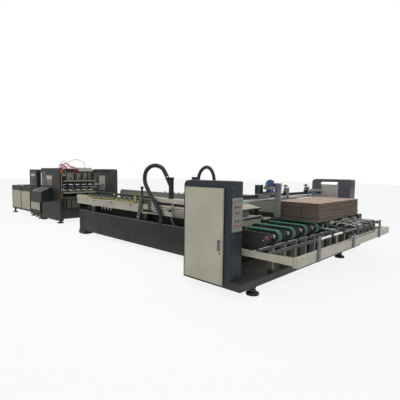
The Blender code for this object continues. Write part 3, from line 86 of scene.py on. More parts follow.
camera = bpy.data.objects.new("camera", bpy.data.cameras.new("camera"))
bpy.context.scene.collection.objects.link(camera)
turn = Matrix(camera_axes(YAW, TILT, ROLL)).transposed()
camera.matrix_world = Matrix.Translation(EYE) @ turn.to_4x4()
camera.data.sensor_width = SENSOR
camera.data.lens = SENSOR * FOCAL_PIXELS / IMAGE_PIXELS
bpy.context.scene.camera = camera
print("lens", round(camera.data.lens, 2), "mm")

# %% [markdown]
# ## Shader maths as Python
# A material here is a small sum of masks. Written as node calls, a sum of three masks takes a
# page. One class that wraps a socket and overloads the operators lets the sum be written as it
# is thought, and each operator still adds an ordinary Math node that can be read in the editor.

# %% The socket class
class Sock:
    """An output socket that can be added, multiplied and divided like a number."""

    def __init__(self, tree, socket):
        self.tree, self.socket = tree, socket

    def out(self, name):
        """Another output of the same node."""
        return Sock(self.tree, self.socket.node.outputs[name])

    def __add__(self, other):
        return self.tree.math("ADD", self, other)

    def __sub__(self, other):
        return self.tree.math("SUBTRACT", self, other)

    def __rsub__(self, other):
        return self.tree.math("SUBTRACT", other, self)

    def __mul__(self, other):
        return self.tree.math("MULTIPLY", self, other)

    def __truediv__(self, other):
        return self.tree.math("DIVIDE", self, other)

    __radd__ = __add__
    __rmul__ = __mul__


# %% The node tree class
class Tree:
    """A tree of shader nodes being made. Any node comes from the one method called node."""

    def __init__(self, tree):
        self.tree = tree

    def node(self, kind, settings=None, sockets=None):
        made = self.tree.nodes.new("ShaderNode" + kind)
        for label, value in (settings or {}).items():
            setattr(made, label, value)
        for key, value in (sockets or {}).items():
            self.feed(made.inputs[key], value)
        return Sock(self, made.outputs[0])

    def feed(self, target, value):
        """Links a socket to a target, or sets a plain value on it."""
        if isinstance(value, Sock):
            self.tree.links.new(value.socket, target)
        else:
            target.default_value = value

    def math(self, operation, first, second=0.0):
        return self.node("Math", {"operation": operation}, {0: first, 1: second})

    def seen(self):
        """1 for rays from the eye, also where they come by way of metal or glass."""
        path = self.node("LightPath")
        direct = self.math("MAXIMUM", path.out("Is Camera Ray"), path.out("Is Glossy Ray"))
        return self.math("MAXIMUM", direct, path.out("Is Transmission Ray"))


# %% The finish class
class Finish(Tree):
    """A material being made, with the masks and mottling that its coats share."""

    def __init__(self, name, **constants):
        self.material = bpy.data.materials.new(name)
        self.material.use_nodes = True
        super().__init__(self.material.node_tree)
        self.shader = self.tree.nodes["Principled BSDF"]
        for label, value in constants.items():
            socket_name = label.replace("_", " ").title().replace("Ior", "IOR")
            self.shader.inputs[socket_name].default_value = value

    def mix(self, amount, first, second):
        """A colour between two, by an amount from 0 to 1."""
        sockets = {0: amount, 6: first, 7: second}
        made = self.node("Mix", {"data_type": "RGBA", "clamp_factor": True}, sockets)
        return Sock(self, made.socket.node.outputs[2])

    def place(self):
        """The place on the piece, in metres, which stays with the piece when it moves."""
        return self.node("TexCoord").out("Object")

    def along(self, axis):
        """One coordinate of the place."""
        return self.node("SeparateXYZ", None, {0: self.place()}).out(axis)

    def noise(self, scale, detail=3.0, stretch=(1, 1, 1), seed=0.0):
        """Soft mottling. Stretch makes it longer along an axis where its value is small."""
        settled = {"Vector": self.place(), "Scale": stretch, "Location": (seed, 0, 0)}
        spot = self.node("Mapping", None, settled)
        return self.node("TexNoise", None, {"Vector": spot, "Scale": scale, "Detail": detail})

    def between(self, value, low, high):
        """Takes a value to 0 at low and to 1 at high, with a smooth run between."""
        settings = {"interpolation_type": "SMOOTHSTEP"}
        return self.node("MapRange", settings, {0: value, 1: low, 2: high})

    def bump(self, height, distance, strength=1.0):
        made = self.node("Bump", None, {"Height": height, "Distance": distance, "Strength": strength})
        self.tree.links.new(made.socket, self.shader.inputs["Normal"])

    def use(self, **values):
        """Feeds the shader's varying sockets."""
        for label, value in values.items():
            self.feed(self.shader.inputs[label.replace("_", " ").title()], value)
        return self.material


def rgb(code):
    """A colour as a screen shows it, written as six hex digits, as linear light for the shader."""
    parts = [int(code[i:i + 2], 16) / 255 for i in (0, 2, 4)]
    return tuple(c / 12.92 if c <= 0.04045 else ((c + 0.055) / 1.055) ** 2.4 for c in parts) + (1.0,)


def shade(color, factor):
    """The same colour, lighter or darker."""
    return tuple(min(1.0, c * factor) for c in color[:3]) + (1.0,)


# %% [markdown]
# ## Light and floor
# The machine stands in an even, mostly overhead light. A pale world fills the shadows, and one
# broad lamp above the line makes tops brighter than sides. Rays from the eye that miss everything
# find plain white, and so do mirror rays, so chrome reflects the same room that the eye sees. The
# floor glows for those rays too, but not fully, so that the machine's shadow stays on it.

# %% World, lamps and floor
FILL = 0.40
FLOOR_REACH, FLOOR_GLOW = 60.0, 0.86
FLOOR_PAINT = (0.90, 0.90, 0.90, 1.0)
WHITE = (1.0, 1.0, 1.0, 1.0)

scene = bpy.context.scene
scene.view_settings.view_transform = "Standard"


def make_world():
    world = bpy.data.worlds.new("studio")
    scene.world = world
    world.use_nodes = True
    sky = Tree(world.node_tree)
    background = sky.tree.nodes["Background"]
    sky.feed(background.inputs["Color"], WHITE)
    sky.feed(background.inputs["Strength"], FILL + sky.seen() * (1.0 - FILL))


def area_lamp(name, place, target, size, power):
    data = bpy.data.lights.new(name, "AREA")
    data.shape = "RECTANGLE"
    data.size, data.size_y = size
    data.energy = power
    lamp = bpy.data.objects.new(name, data)
    scene.collection.objects.link(lamp)
    lamp.location = place
    lamp.rotation_euler = (Vector(target) - Vector(place)).to_track_quat("-Z", "Y").to_euler()


def make_floor():
    mesh = bpy.data.meshes.new("floor")
    reach = FLOOR_REACH
    corners = [(-reach, -reach, 0), (reach, -reach, 0), (reach, reach, 0), (-reach, reach, 0)]
    mesh.from_pydata(corners, [], [(0, 1, 2, 3)])
    floor = bpy.data.objects.new("floor", mesh)
    scene.collection.objects.link(floor)
    finish = Finish("pale_floor", roughness=0.9)
    finish.feed(finish.shader.inputs["Base Color"], FLOOR_PAINT)
    paint = Sock(finish, finish.shader.outputs[0])
    glow = finish.node("Emission", None, {"Color": WHITE, "Strength": 1.0})
    blend = finish.node("MixShader", None, {0: finish.seen() * FLOOR_GLOW, 1: paint, 2: glow})
    finish.feed(finish.tree.nodes["Material Output"].inputs["Surface"], blend)
    mesh.materials.append(finish.material)


make_world()
area_lamp("overhead", (0, -1.0, 8.0), (0, 0, 0), (16.0, 9.0), 500.0)
area_lamp("front_fill", (10.0, -6.0, 5.0), (1.0, 0, 0.8), (6.0, 4.0), 60.0)
make_floor()
print("world fill", FILL)

# %% [markdown]
# ## Coats of finish
# Most pieces of this machine carry two or three finishes: a shaft is chrome but its wheels are
# rubber, a beam is cream but its feet are black. So a finish is kept as a coat, which is a small
# set of sockets, and two coats can be blended by a mask before the shader gets them. The masks
# are places on the piece in metres, so an edge of paint lies exactly where the solid turns.

# %% Coats
def sprayed(finish, code, gloss=0.42, dust=0.12, wear=0.07):
    """Sprayed paint: faint clouds, scuffs, orange peel, and dust that settles low down."""
    color = rgb(code)
    clouds = finish.noise(2.2, 4.0)
    grain = finish.noise(55.0, 2.0, seed=3.0)
    scuffs = finish.between(finish.noise(9.0, 6.0, stretch=(1.0, 1.0, 0.25), seed=7.0), 0.60, 0.72)
    low = 1.0 - finish.between(finish.along("Z"), 0.0, 0.45)
    tint = finish.mix(finish.between(clouds, 0.35, 0.65), shade(color, 0.93), shade(color, 1.06))
    tint = finish.mix(scuffs * wear, tint, shade(color, 1.45))
    tint = finish.mix(low * finish.between(clouds, 0.3, 0.7) * dust, tint, rgb("8f8a80"))
    rough = gloss + scuffs * 0.15 + (grain - 0.5) * 0.12
    return {"tint": tint, "rough": rough, "metal": 0.0, "height": grain, "depth": 0.0006}


def ground(finish, code, gloss=0.38, stretch=(40.0, 40.0, 1.0), metal=0.75):
    """Ground or drawn metal: long fine lines one way, with a few dull stains."""
    color = rgb(code)
    lines = finish.noise(6.0, 5.0, stretch=stretch)
    stains = finish.between(finish.noise(5.0, 4.0, seed=11.0), 0.45, 0.70)
    tint = finish.mix(lines, shade(color, 0.82), shade(color, 1.12))
    tint = finish.mix(stains * 0.25, tint, shade(color, 0.60))
    rough = gloss + lines * 0.12 + stains * 0.1
    return {"tint": tint, "rough": rough, "metal": metal, "height": lines, "depth": 0.0004}


def spangled(finish, code, gloss=0.42, size=45.0):
    """Hot-dip zinc: flat crystals of slightly different greys, each with its own dull gleam."""
    color = rgb(code)
    cells = finish.node("TexVoronoi", {"feature": "F1"}, {"Vector": finish.place(), "Scale": size})
    crystal = cells.out("Color")
    grey = finish.node("RGBToBW", None, {"Color": crystal})
    clouds = finish.noise(3.0, 4.0, seed=9.0)
    tint = finish.mix(grey, shade(color, 0.80), shade(color, 1.12))
    tint = finish.mix(finish.between(clouds, 0.45, 0.75) * 0.4, tint, shade(color, 0.66))
    return {"tint": tint, "rough": gloss + grey * 0.15, "metal": 0.35, "height": grey, "depth": 0.0002}


def flecked(finish, code, gloss=0.6, scale=60.0, contrast=0.25):
    """Rubber, board and belt: a matt base with specks of a set size."""
    color = rgb(code)
    specks = finish.noise(scale, 4.0)
    clouds = finish.noise(3.0, 3.0, seed=5.0)
    tint = finish.mix(specks, shade(color, 1 - contrast), shade(color, 1 + contrast))
    tint = finish.mix(clouds * 0.3, tint, shade(color, 1.25))
    rough = gloss + (clouds - 0.5) * 0.1
    return {"tint": tint, "rough": rough, "metal": 0.0, "height": specks, "depth": 0.0005}


def blended(finish, mask, first, second):
    """The first coat where the mask is 0 and the second where it is 1."""
    def number(key):
        low, high = first[key], second[key]
        if low == high:
            return low
        return (1.0 - mask) * low + mask * high
    return {
        "tint": finish.mix(mask, first["tint"], second["tint"]),
        "rough": number("rough"), "metal": number("metal"), "height": number("height"),
        "depth": max(first["depth"], second["depth"]),
    }


def finished(finish, coat, strength=0.35):
    """Gives the shader a coat, and returns the material."""
    finish.bump(coat["height"], coat["depth"], strength)
    return finish.use(base_color=coat["tint"], roughness=coat["rough"], metallic=coat["metal"])


# %% [markdown]
# ## The twelve plain finishes
# The record of the machine names twelve finishes. Each is one coat on its own, and the table
# below is the whole recipe: which coat, its colour as a screen shows it, and how glossy it is.

# %% Plain finishes
RECIPES = {
    "slate_paint": (sprayed, ("2e343c", 0.45), 0.0),
    "black_paint": (sprayed, ("292a28", 0.48), 0.0),
    "cream_paint": (sprayed, ("bfbca9", 0.40, 0.08), 0.15),
    "blue_paint": (sprayed, ("2c4a88", 0.30, 0.05), 0.3),
    "grey_steel": (ground, ("87898b", 0.42), 0.0),
    "chrome": (ground, ("dcdcde", 0.12, (1.0, 30.0, 30.0), 1.0), 0.0),
    "brass": (ground, ("998449", 0.42, (1.0, 40.0, 40.0), 0.5), 0.0),
    "panel_alloy": (ground, ("96958d", 0.48, (1.0, 40.0, 1.0), 0.2), 0.0),
    "green_belt": (flecked, ("235e49", 0.62, 120.0), 0.0),
    "cardboard": (flecked, ("a08a79", 0.85, 30.0, 0.12), 0.0),
    "black_rubber": (flecked, ("2a2b32", 0.50, 80.0, 0.15), 0.0),
    "red_tube": (flecked, ("c8344a", 0.30, 20.0, 0.05), 0.1),
}
SMALL_PARTS = {
    "zinc": (ground, ("b4b4b0", 0.30, (1.0, 1.0, 1.0), 0.9), 0.0),
    "dark_steel": (ground, ("4c4d4e", 0.40, (8.0, 8.0, 8.0), 0.6), 0.0),
    "white_plastic": (flecked, ("d8d8d2", 0.40, 25.0, 0.04), 0.1),
    "black_plastic": (flecked, ("1d1e21", 0.35, 25.0, 0.10), 0.1),
    "red_plastic": (flecked, ("b8242a", 0.28, 25.0, 0.05), 0.3),
    "orange_plastic": (flecked, ("b5622c", 0.35, 25.0, 0.08), 0.2),
    "green_plastic": (flecked, ("1f7d55", 0.28, 25.0, 0.05), 0.3),
    "yellow_plastic": (flecked, ("cdb64a", 0.35, 25.0, 0.06), 0.2),
    "blue_plastic": (flecked, ("3a6fb5", 0.35, 25.0, 0.06), 0.2),
    "pink_plastic": (flecked, ("83524c", 0.50, 25.0, 0.08), 0.1),
    "cream_hose": (flecked, ("c9c4ae", 0.45, 25.0, 0.06), 0.1),
    "smoked_sheet": (flecked, ("1b1d20", 0.25, 25.0, 0.05), 0.0),
    "hood_lid": (sprayed, ("45433e", 0.45, 0.2, 0.4), 0.0),
    "dark_belt": (flecked, ("1b1c1f", 0.70, 120.0, 0.3), 0.0),
    "brown_steel": (sprayed, ("3d3630", 0.50, 0.3, 0.3), 0.0),
    "red_steel": (flecked, ("3f2b27", 0.55, 30.0, 0.2), 0.0),
    "worn_cream": (sprayed, ("7d7b70", 0.50, 0.25), 0.0),
    "gold_duct": (flecked, ("936c33", 0.50, 30.0, 0.15), 0.0),
    "dull_sheet": (sprayed, ("54554d", 0.55, 0.2), 0.0),
    "rust_duct": (flecked, ("a4572c", 0.50, 30.0, 0.15), 0.0),
    "table_cream": (sprayed, ("aea68d", 0.42, 0.1), 0.1),
    # Lighter copies of the slate and black paint for the far walls: painted light, since those walls carry
    # the same paint as the near ones.
    "painted_lit_slate": (sprayed, ("61646c", 0.45), 0.0),
    "painted_lit_black": (sprayed, ("484849", 0.48), 0.0),
    "zinc_sheet": (spangled, ("9fa1a2", 0.42), 0.0),
}
SHEEN = {
    "slate_paint": 0.22, "black_paint": 0.18, "black_rubber": 0.25, "smoked_sheet": 0.3,
    "dark_belt": 0.2, "green_belt": 0.3, "cardboard": 0.3, "black_plastic": 0.3,
    "painted_lit_slate": 0.22, "painted_lit_black": 0.2, "dull_sheet": 0.15,
}
PLAIN_SHEEN = 0.4


def plain(name, recipe):
    coat, values, gloss_coat = recipe
    sheen = SHEEN.get(name, PLAIN_SHEEN)
    finish = Finish(name, coat_weight=gloss_coat, coat_roughness=0.25, specular_ior_level=sheen)
    return finished(finish, coat(finish, *values))


FINISHES = {name: plain(name, recipe) for name, recipe in {**RECIPES, **SMALL_PARTS}.items()}
print("made", len(FINISHES), "plain finishes")

# %% [markdown]
# ## Finishes of two coats
# Where one solid stands for parts of two colours, a mask picks the coat. A mask from a height or
# a distance works on any side of the solid, which a picture projected from one side would not.

# %% Finishes of two coats
EDGE = 0.002


def above(finish, axis, value):
    """1 where the place along the axis is past the value."""
    return finish.between(finish.along(axis), value - EDGE, value + EDGE)


def past_radius(finish, center_x, center_z, radius):
    """1 outside a cylinder that lies across the machine."""
    side, rise = finish.along("X") - center_x, finish.along("Z") - center_z
    distance = finish.math("SQRT", side * side + rise * rise)
    return finish.between(distance, radius - EDGE, radius + EDGE)


def two_coats(name, mask, low_recipe, high_recipe, strength=0.35):
    """A material of two recipes. The mask is made by a function of the finish."""
    finish = Finish(name, specular_ior_level=0.3)
    coats = [coat(finish, *values) for coat, values, _ in (low_recipe, high_recipe)]
    return finished(finish, blended(finish, mask(finish), *coats), strength)


def shaft_finish(name, node, hub_radius):
    """Chrome near the axis of a shaft and dark rubber on its wheels."""
    low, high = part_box(node)
    center_x, center_z = (low[0] + high[0]) / 2, (low[2] + high[2]) / 2
    return two_coats(
        name, lambda finish: past_radius(finish, center_x, center_z, hub_radius),
        RECIPES["chrome"], (flecked, ("2b3038", 0.45, 60.0, 0.2), 0.0),
    )


STAND_PAINT = (sprayed, ("8f8c7e", 0.45, 0.15), 0.0)
DARK_PLATE = (sprayed, ("3b3d3c", 0.45, 0.1), 0.0)
DOOR_FACE = -2.163
SPECIAL = {
    # The far walls take the lighter copies of the paint, which is painted light.
    "feeder_far_wall": FINISHES["painted_lit_slate"],
    "press_far_wall": FINISHES["painted_lit_black"],
    "belt_stands": two_coats("stand_paint", lambda f: above(f, "Z", 0.522), STAND_PAINT, DARK_PLATE),
    "feeder_near_door": two_coats(
        "door_paint", lambda f: above(f, "Y", DOOR_FACE), (sprayed, ("5c6572", 0.35), 0.0),
        RECIPES["cream_paint"], 0.25,
    ),
    "near_fold_beam": two_coats(
        "near_beam_paint", lambda f: above(f, "Z", 0.735), RECIPES["black_paint"], RECIPES["cream_paint"]),
    # The far beam: black below 0.735 is painted shade for the gap under the beam, and the greyer cream above
    # is the cream paint with painted shade.
    "far_fold_beam": two_coats(
        "far_beam_paint_and_shade", lambda f: above(f, "Z", 0.735), RECIPES["black_paint"],
        (sprayed, ("939387", 0.45, 0.1), 0.0)),
    "near_fold_rod": two_coats(
        "near_rod_paint", lambda f: above(f, "Z", 0.946), RECIPES["cream_paint"], RECIPES["brass"]),
    "guide_shaft": two_coats(
        "guide_shaft_steel", lambda f: above(f, "Z", 1.10), RECIPES["grey_steel"],
        (ground, ("e4e4e6", 0.30, (30.0, 1.0, 30.0), 0.5), 0.0)),
    "press_base": two_coats(
        "press_base_paint", lambda f: above(f, "Z", 0.47), RECIPES["black_paint"],
        (sprayed, ("403f39", 0.50, 0.2), 0.0)),
    "manifold_beam": two_coats(
        "hanger_paint", lambda f: above(f, "Z", 1.545), (sprayed, ("7c7c74", 0.50, 0.2), 0.0),
        RECIPES["black_paint"]),
    "knob_column": two_coats(
        "lever_paint", lambda f: above(f, "Z", 1.125), (sprayed, ("4b4e48", 0.45, 0.2), 0.0),
        SMALL_PARTS["black_plastic"]),
    "near_side_guide": FINISHES["zinc_sheet"],
    "far_side_guide": FINISHES["zinc_sheet"],
    "bar_posts": two_coats(
        "post_steel", lambda f: above(f, "X", 6.185), (ground, ("55575a", 0.4, (1, 1, 1), 0.6), 0.0),
        (ground, ("74767a", 0.42, (40, 40, 1), 0.5), 0.0)),
    "feeder_front_beam": two_coats(
        "front_beam_paint", lambda f: above(f, "Z", 0.098), RECIPES["black_rubber"], RECIPES["black_paint"]),
    "feeder_rear_beam": two_coats(
        "rear_beam_paint", lambda f: above(f, "Z", 0.098), RECIPES["black_rubber"], RECIPES["black_paint"]),
    "upper_wheel_shaft": shaft_finish("upper_wheels", "upper_wheel_shaft", 0.030),
    "lower_wheel_shaft": shaft_finish("lower_wheels", "lower_wheel_shaft", 0.030),
    "rear_wheel_shaft": shaft_finish("rear_wheels", "rear_wheel_shaft", 0.030),
    "front_pulley_shaft": shaft_finish("front_pulleys", "front_pulley_shaft", 0.025),
    "rear_pulley_shaft": shaft_finish("rear_pulleys", "rear_pulley_shaft", 0.025),
}
print("made", len(SPECIAL), "finishes of two coats")

# %% Finish the solids
slots = {entry["node"]: entry["material_slot"] for entry in frame["record"]["subparts"]}
for name, solid in NODES.items():
    solid.data.materials.clear()
    solid.data.materials.append(SPECIAL.get(name) or FINISHES[slots[name]])
print("finished", len(slots), "solids")

# %% [markdown]
# ## A small workshop for meshes
# Nearly every small piece of a machine is cut from plate, turned on a lathe, or bent from tube.
# Three functions cover those three ways of making: a plate is an outline with depth and broken
# edges, a turned part is a profile swept round an axis, and a tube follows a line. Blender's own
# primitives would give the same boxes and cylinders, but with knife edges that no real part has.

# %% The piece class
CREASE = math.radians(38)
PLANES = {"X": (1, 2, 0), "Y": (0, 2, 1), "Z": (0, 1, 2)}
TRIANGLES = {}


class Piece:
    """One mesh, made from plates, turned parts and bent tubes, which then rides on a body."""

    def __init__(self, name, finish, body="line"):
        self.name, self.finish, self.body = name, finish, body
        self.mesh = bmesh.new()

    def skin(self, rings, loop=False):
        """A closed skin through rings that have equally many points."""
        rows = [[self.mesh.verts.new(p) for p in ring] for ring in rings]
        spans = list(zip(rows, rows[1:])) + ([(rows[-1], rows[0])] if loop else [])
        count = len(rows[0])
        faces = []
        for low, high in spans:
            for i in range(count):
                j = (i + 1) % count
                faces.append(self.mesh.faces.new((low[i], low[j], high[j], high[i])))
        if not loop:
            faces += [self.mesh.faces.new(rows[0][::-1]), self.mesh.faces.new(rows[-1])]
        return faces

    def plate(self, outline, axis, low, high, edge=0.002):
        """An outline in the plane across the axis, with depth from low to high and broken edges."""
        first, second, third = PLANES[axis]
        rings = []
        for depth in (low, high):
            ring = []
            for a, b in outline:
                spot = [0.0, 0.0, 0.0]
                spot[first], spot[second], spot[third] = a, b, depth
                ring.append(spot)
            rings.append(ring)
        faces = self.skin(rings)
        if edge:
            edges = list({e for face in faces for e in face.edges})
            bmesh.ops.bevel(
                self.mesh, geom=edges, offset=edge, segments=1, affect="EDGES", clamp_overlap=True)
        return self

    def block(self, x, y, z, edge=0.002):
        return self.plate([(x[0], z[0]), (x[1], z[0]), (x[1], z[1]), (x[0], z[1])], "Y", y[0], y[1], edge)

    def turned(self, profile, base, toward, sides=20):
        """A profile of radius and distance pairs, swept round the line from base in a direction."""
        base, axis = Vector(base), Vector(toward).normalized()
        side = axis.orthogonal().normalized()
        other = axis.cross(side)
        rings = []
        for radius, along in profile:
            middle = base + axis * along
            turns = [math.tau * i / sides for i in range(sides)]
            rings.append([middle + (side * math.cos(t) + other * math.sin(t)) * radius for t in turns])
        self.skin(rings)
        return self

    def tube(self, points, radius, sides=12, ribs=None):
        """A round bar bent along points. Ribs give a repeated pattern of radii along it."""
        points = [Vector(p) for p in points]
        heading = (points[1] - points[0]).normalized()
        side = heading.orthogonal().normalized()
        rings = []
        for i, point in enumerate(points):
            ahead = points[min(i + 1, len(points) - 1)] - points[max(i - 1, 0)]
            ahead.normalize()
            side = (side - ahead * side.dot(ahead)).normalized()
            other = ahead.cross(side)
            size = radius + (ribs[i % len(ribs)] if ribs else 0.0)
            turns = [math.tau * k / sides for k in range(sides)]
            rings.append([point + (side * math.cos(t) + other * math.sin(t)) * size for t in turns])
        self.skin(rings)
        return self

    def bolts(self, places, toward, size=0.008):
        """A washer and a six-sided head at each place."""
        rim = size * 1.35
        washer = [(size * 1.2, 0), (rim, 0.0008), (rim, size * 0.18), (size * 1.2, size * 0.2)]
        head = [(size, size * 0.2), (size, size * 0.75), (size * 0.86, size * 0.85)]
        for place in places:
            self.turned(washer, place, toward, 16)
            self.turned(head, place, toward, 6)
        return self

    def order_faces(self):
        """Puts the faces in an order that only their places decide, since a bevel leaves any."""
        def place(face):
            return (*face.calc_center_median(), len(face.verts), face.calc_area())

        for i, face in enumerate(sorted(self.mesh.faces, key=place)):
            face.index = i
        self.mesh.faces.sort()

    def done(self, slot=None):
        """Makes the object, smooths its round faces, and puts it on its body."""
        self.order_faces()
        bmesh.ops.recalc_face_normals(self.mesh, faces=self.mesh.faces[:])
        mesh = bpy.data.meshes.new(self.name)
        self.mesh.to_mesh(mesh)
        self.mesh.free()
        mesh.shade_smooth()
        mesh.set_sharp_from_angle(angle=CREASE)
        made = bpy.data.objects.new(self.name, mesh)
        scene.collection.objects.link(made)
        finish = self.finish
        mesh.materials.append(FINISHES[finish] if isinstance(finish, str) else finish)
        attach(made, self.body)
        TRIANGLES[self.name] = sum(len(face.vertices) - 2 for face in mesh.polygons)
        print(self.name, TRIANGLES[self.name], "triangles")
        return made


def bend(points, step=0.02):
    """A smooth line through points, with places about a step apart."""
    points = [Vector(p) for p in points]
    padded = [points[0] * 2 - points[1]] + points + [points[-1] * 2 - points[-2]]
    line = []
    for a, b, c, d in zip(padded, padded[1:], padded[2:], padded[3:]):
        count = max(1, round((c - b).length / step))
        for i in range(count):
            t = i / count
            bow = (c - a) * t + (a * 2 - b * 5 + c * 4 - d) * t * t + (b * 3 - a - c * 3 + d) * t ** 3
            line.append(b + bow * 0.5)
    return line + [points[-1]]


def spread(low, high, count):
    """Evenly spaced numbers from low to high."""
    return [low + (high - low) * i / (count - 1) for i in range(count)]


def around(count, shift=0.0):
    """Directions spaced evenly round a circle."""
    turns = [math.tau * (k + shift) / count for k in range(count)]
    return [(math.cos(t), math.sin(t)) for t in turns]


def drum(bore, lip, rim, half, shoulder):
    """The profile of a roller: flat ends from bore to lip, and its rim between two shoulders."""
    return [(bore, -half), (lip, -half), (rim, -shoulder), (rim, shoulder), (lip, half), (bore, half)]


def laid_on(face, side, sunk=0.001, proud=0.004):
    """From where to where a plate runs that is let into a face a little and stands proud of it."""
    return sorted((face - side * sunk, face + side * proud))


print("workshop ready")


# %% [markdown]
# ## The push buttons
# The end of the near cabinet carries an alloy panel with five rows of push buttons. Each button
# is a chrome bezel with a coloured cap, a little domed. The solid has a plain stub at each place,
# and the bezel and the cap are turned parts that sleeve it.

# %% Push buttons
PANEL_X = 5.422
PANEL_MIDDLE = -2.01
PANEL_BASE = 0.845
BUTTON_PITCH = 0.058
BUTTON_ROWS = {
    0.400: ("green_plastic", "red_plastic", "green_plastic"),
    0.325: ("black_plastic", "black_plastic", "red_plastic"),
    0.245: ("black_plastic", "red_plastic"),
    0.145: ("black_plastic", "black_plastic", "green_plastic"),
    0.085: ("red_plastic", "orange_plastic", "red_plastic"),
}
BEZEL = [(0.0115, -0.0015), (0.0165, -0.0015), (0.0165, 0.003), (0.0145, 0.006), (0.0115, 0.006)]
CAP = [(0.0114, 0.004), (0.0128, 0.006), (0.0128, 0.0145), (0.011, 0.0165), (0.006, 0.0172)]

bezels = Piece("button_bezels", "zinc")
caps = {}
for height, colors in BUTTON_ROWS.items():
    for i, color in enumerate(colors):
        y = PANEL_MIDDLE + (i - (len(colors) - 1) / 2) * BUTTON_PITCH
        spot = (PANEL_X, y, PANEL_BASE + height)
        bezels.turned(BEZEL, spot, (1, 0, 0), 24)
        if color not in caps:
            caps[color] = Piece("caps_" + color.split("_")[0], color)
        caps[color].turned(CAP, spot, (1, 0, 0), 24)
for y in (PANEL_MIDDLE - 0.092, PANEL_MIDDLE + 0.092):
    for z in (PANEL_BASE + 0.018, PANEL_BASE + 0.422):
        bezels.turned([(0.006, -0.001), (0.006, 0.002), (0.004, 0.0035)], (PANEL_X, y, z), (1, 0, 0), 12)
bezels.done("chrome")
for cap in caps.values():
    cap.done("panel_alloy")

# %% [markdown]
# ## The cabinets
# Each cabinet is folded from sheet, with screwed cover strips on its top and its end, and one
# more on the far cabinet's outer side. The strips are thin plates laid on the solid's face,
# because the frame's own mesh may not be cut.

# %% Cabinet trim
WALL_SIDES = ((-2.13, -1.89), (1.89, 2.13))
PAN_HEAD = [(0.006, 0), (0.006, 0.002), (0.0035, 0.0035)]

trim = Piece("cabinet_cover_strips", "slate_paint")
screws = Piece("cabinet_screws", "zinc")
for low_y, high_y in WALL_SIDES:
    trim.block((4.63, 5.33), (low_y + 0.02, high_y - 0.02), (1.4945, 1.4985), 0.0015)
    for x in spread(4.68, 5.28, 3):
        for y in (low_y + 0.035, high_y - 0.035):
            screws.turned(PAN_HEAD, (x, y, 1.498), (0, 0, 1), 12)
    trim.block((5.4095, 5.4135), (low_y + 0.015, high_y - 0.015), (1.30, 1.44), 0.0015)
    trim.block((5.4095, 5.4135), (low_y + 0.015, high_y - 0.015), (0.225, 0.80), 0.0015)
    for z in (1.32, 1.42, 0.245, 0.78):
        for y in (low_y + 0.03, high_y - 0.03):
            screws.turned([(0.005, 0), (0.005, 0.002), (0.003, 0.003)], (5.4135, y, z), (1, 0, 0), 12)
trim.block((4.64, 5.32), (2.1295, 2.1345), (0.16, 1.40), 0.002)
for x in (4.67, 5.29):
    for z in spread(0.2, 1.36, 4):
        screws.turned(PAN_HEAD, (x, 2.1345, z), (0, 1, 0), 12)
trim.done("slate_paint")
screws.done("chrome")

# %% [markdown]
# ## The door
# A pressed door has a turned-in edge all round, seen as a slim raised frame, and stiffening that
# shows only faintly. The latch is a small lock barrel under the bow handle.

# %% Door trim
DOOR_X, DOOR_Z, DOOR_Y = (4.60, 5.30), (0.135, 1.405), -2.1605

edge = Piece("door_folded_edge", "cream_paint", "cabinet_door")
fold = 0.010
for x in ((DOOR_X[0] + 0.002, DOOR_X[0] + 0.002 + fold), (DOOR_X[1] - 0.002 - fold, DOOR_X[1] - 0.002)):
    edge.block(x, (DOOR_Y - 0.003, DOOR_Y + 0.002), (DOOR_Z[0] + 0.002, DOOR_Z[1] - 0.002), 0.001)
for z in ((DOOR_Z[0] + 0.002, DOOR_Z[0] + 0.002 + fold), (DOOR_Z[1] - 0.002 - fold, DOOR_Z[1] - 0.002)):
    edge.block((DOOR_X[0] + 0.014, DOOR_X[1] - 0.014), (DOOR_Y - 0.003, DOOR_Y + 0.002), z, 0.001)
edge.done("cream_paint")
lock = Piece("door_lock", "dark_steel", "cabinet_door")
barrel = [(0.012, -0.002), (0.012, 0.003), (0.010, 0.005), (0.009, 0.005), (0.008, 0.0035)]
lock.turned(barrel, (5.255, DOOR_Y, 0.55), (0, -1, 0), 24)
lock.block((5.2535, 5.2565), (DOOR_Y - 0.0055, DOOR_Y - 0.003), (0.545, 0.555), 0.0004)
lock.done("chrome")

# %% [markdown]
# ## Levelling feet
# A heavy frame is levelled on screwed feet. Each has a rubber pad with ribs, a cone, a threaded
# stem and a lock nut under the beam. The thread is a stack of shallow rings, which reads as a
# thread at any distance and needs far fewer faces than a true helix.

# %% Levelling feet
FEEDER_FEET = [(5.545, -1.81), (5.545, 1.10), (4.635, -1.60), (4.635, 1.60)]
cones = Piece("foot_cones", "black_rubber")
nuts = Piece("foot_nuts", "dark_steel")
for x, y in FEEDER_FEET:
    cones.turned([(0.084, 0.0245), (0.078, 0.031), (0.046, 0.045), (0.034, 0.052)], (x, y, 0), (0, 0, 1), 32)
    for out_x, out_y in around(8):
        rib_top = (x + out_x * 0.035, y + out_y * 0.035, 0.046)
        rib_foot = (x + out_x * 0.079, y + out_y * 0.079, 0.028)
        cones.tube([rib_top, rib_foot], 0.005, 8)
    nuts.turned([(0.044, 0.052), (0.047, 0.055), (0.047, 0.068), (0.044, 0.071)], (x, y, 0), (0, 0, 1), 6)
    nuts.turned([(0.044, 0.082), (0.047, 0.085), (0.047, 0.0985), (0.044, 0.0995)], (x, y, 0), (0, 0, 1), 6)
    for z in spread(0.072, 0.081, 4):
        nuts.turned([(0.0305, z - 0.001), (0.0325, z), (0.0305, z + 0.001)], (x, y, 0), (0, 0, 1), 20)
cones.done("black_rubber")
nuts.done("chrome")

# %% [markdown]
# ## The feed belts
# Nine green belts carry the boards in. The top of a belt is a closed weave, dark with a lighter
# edge, and where it bends over the front pulley the ribs of its back show through as a mottled
# teal. Both are one material that looks at the place: past the axle, the mottling takes over.

# %% Belt weave
BELT_FRONT_X = 5.68


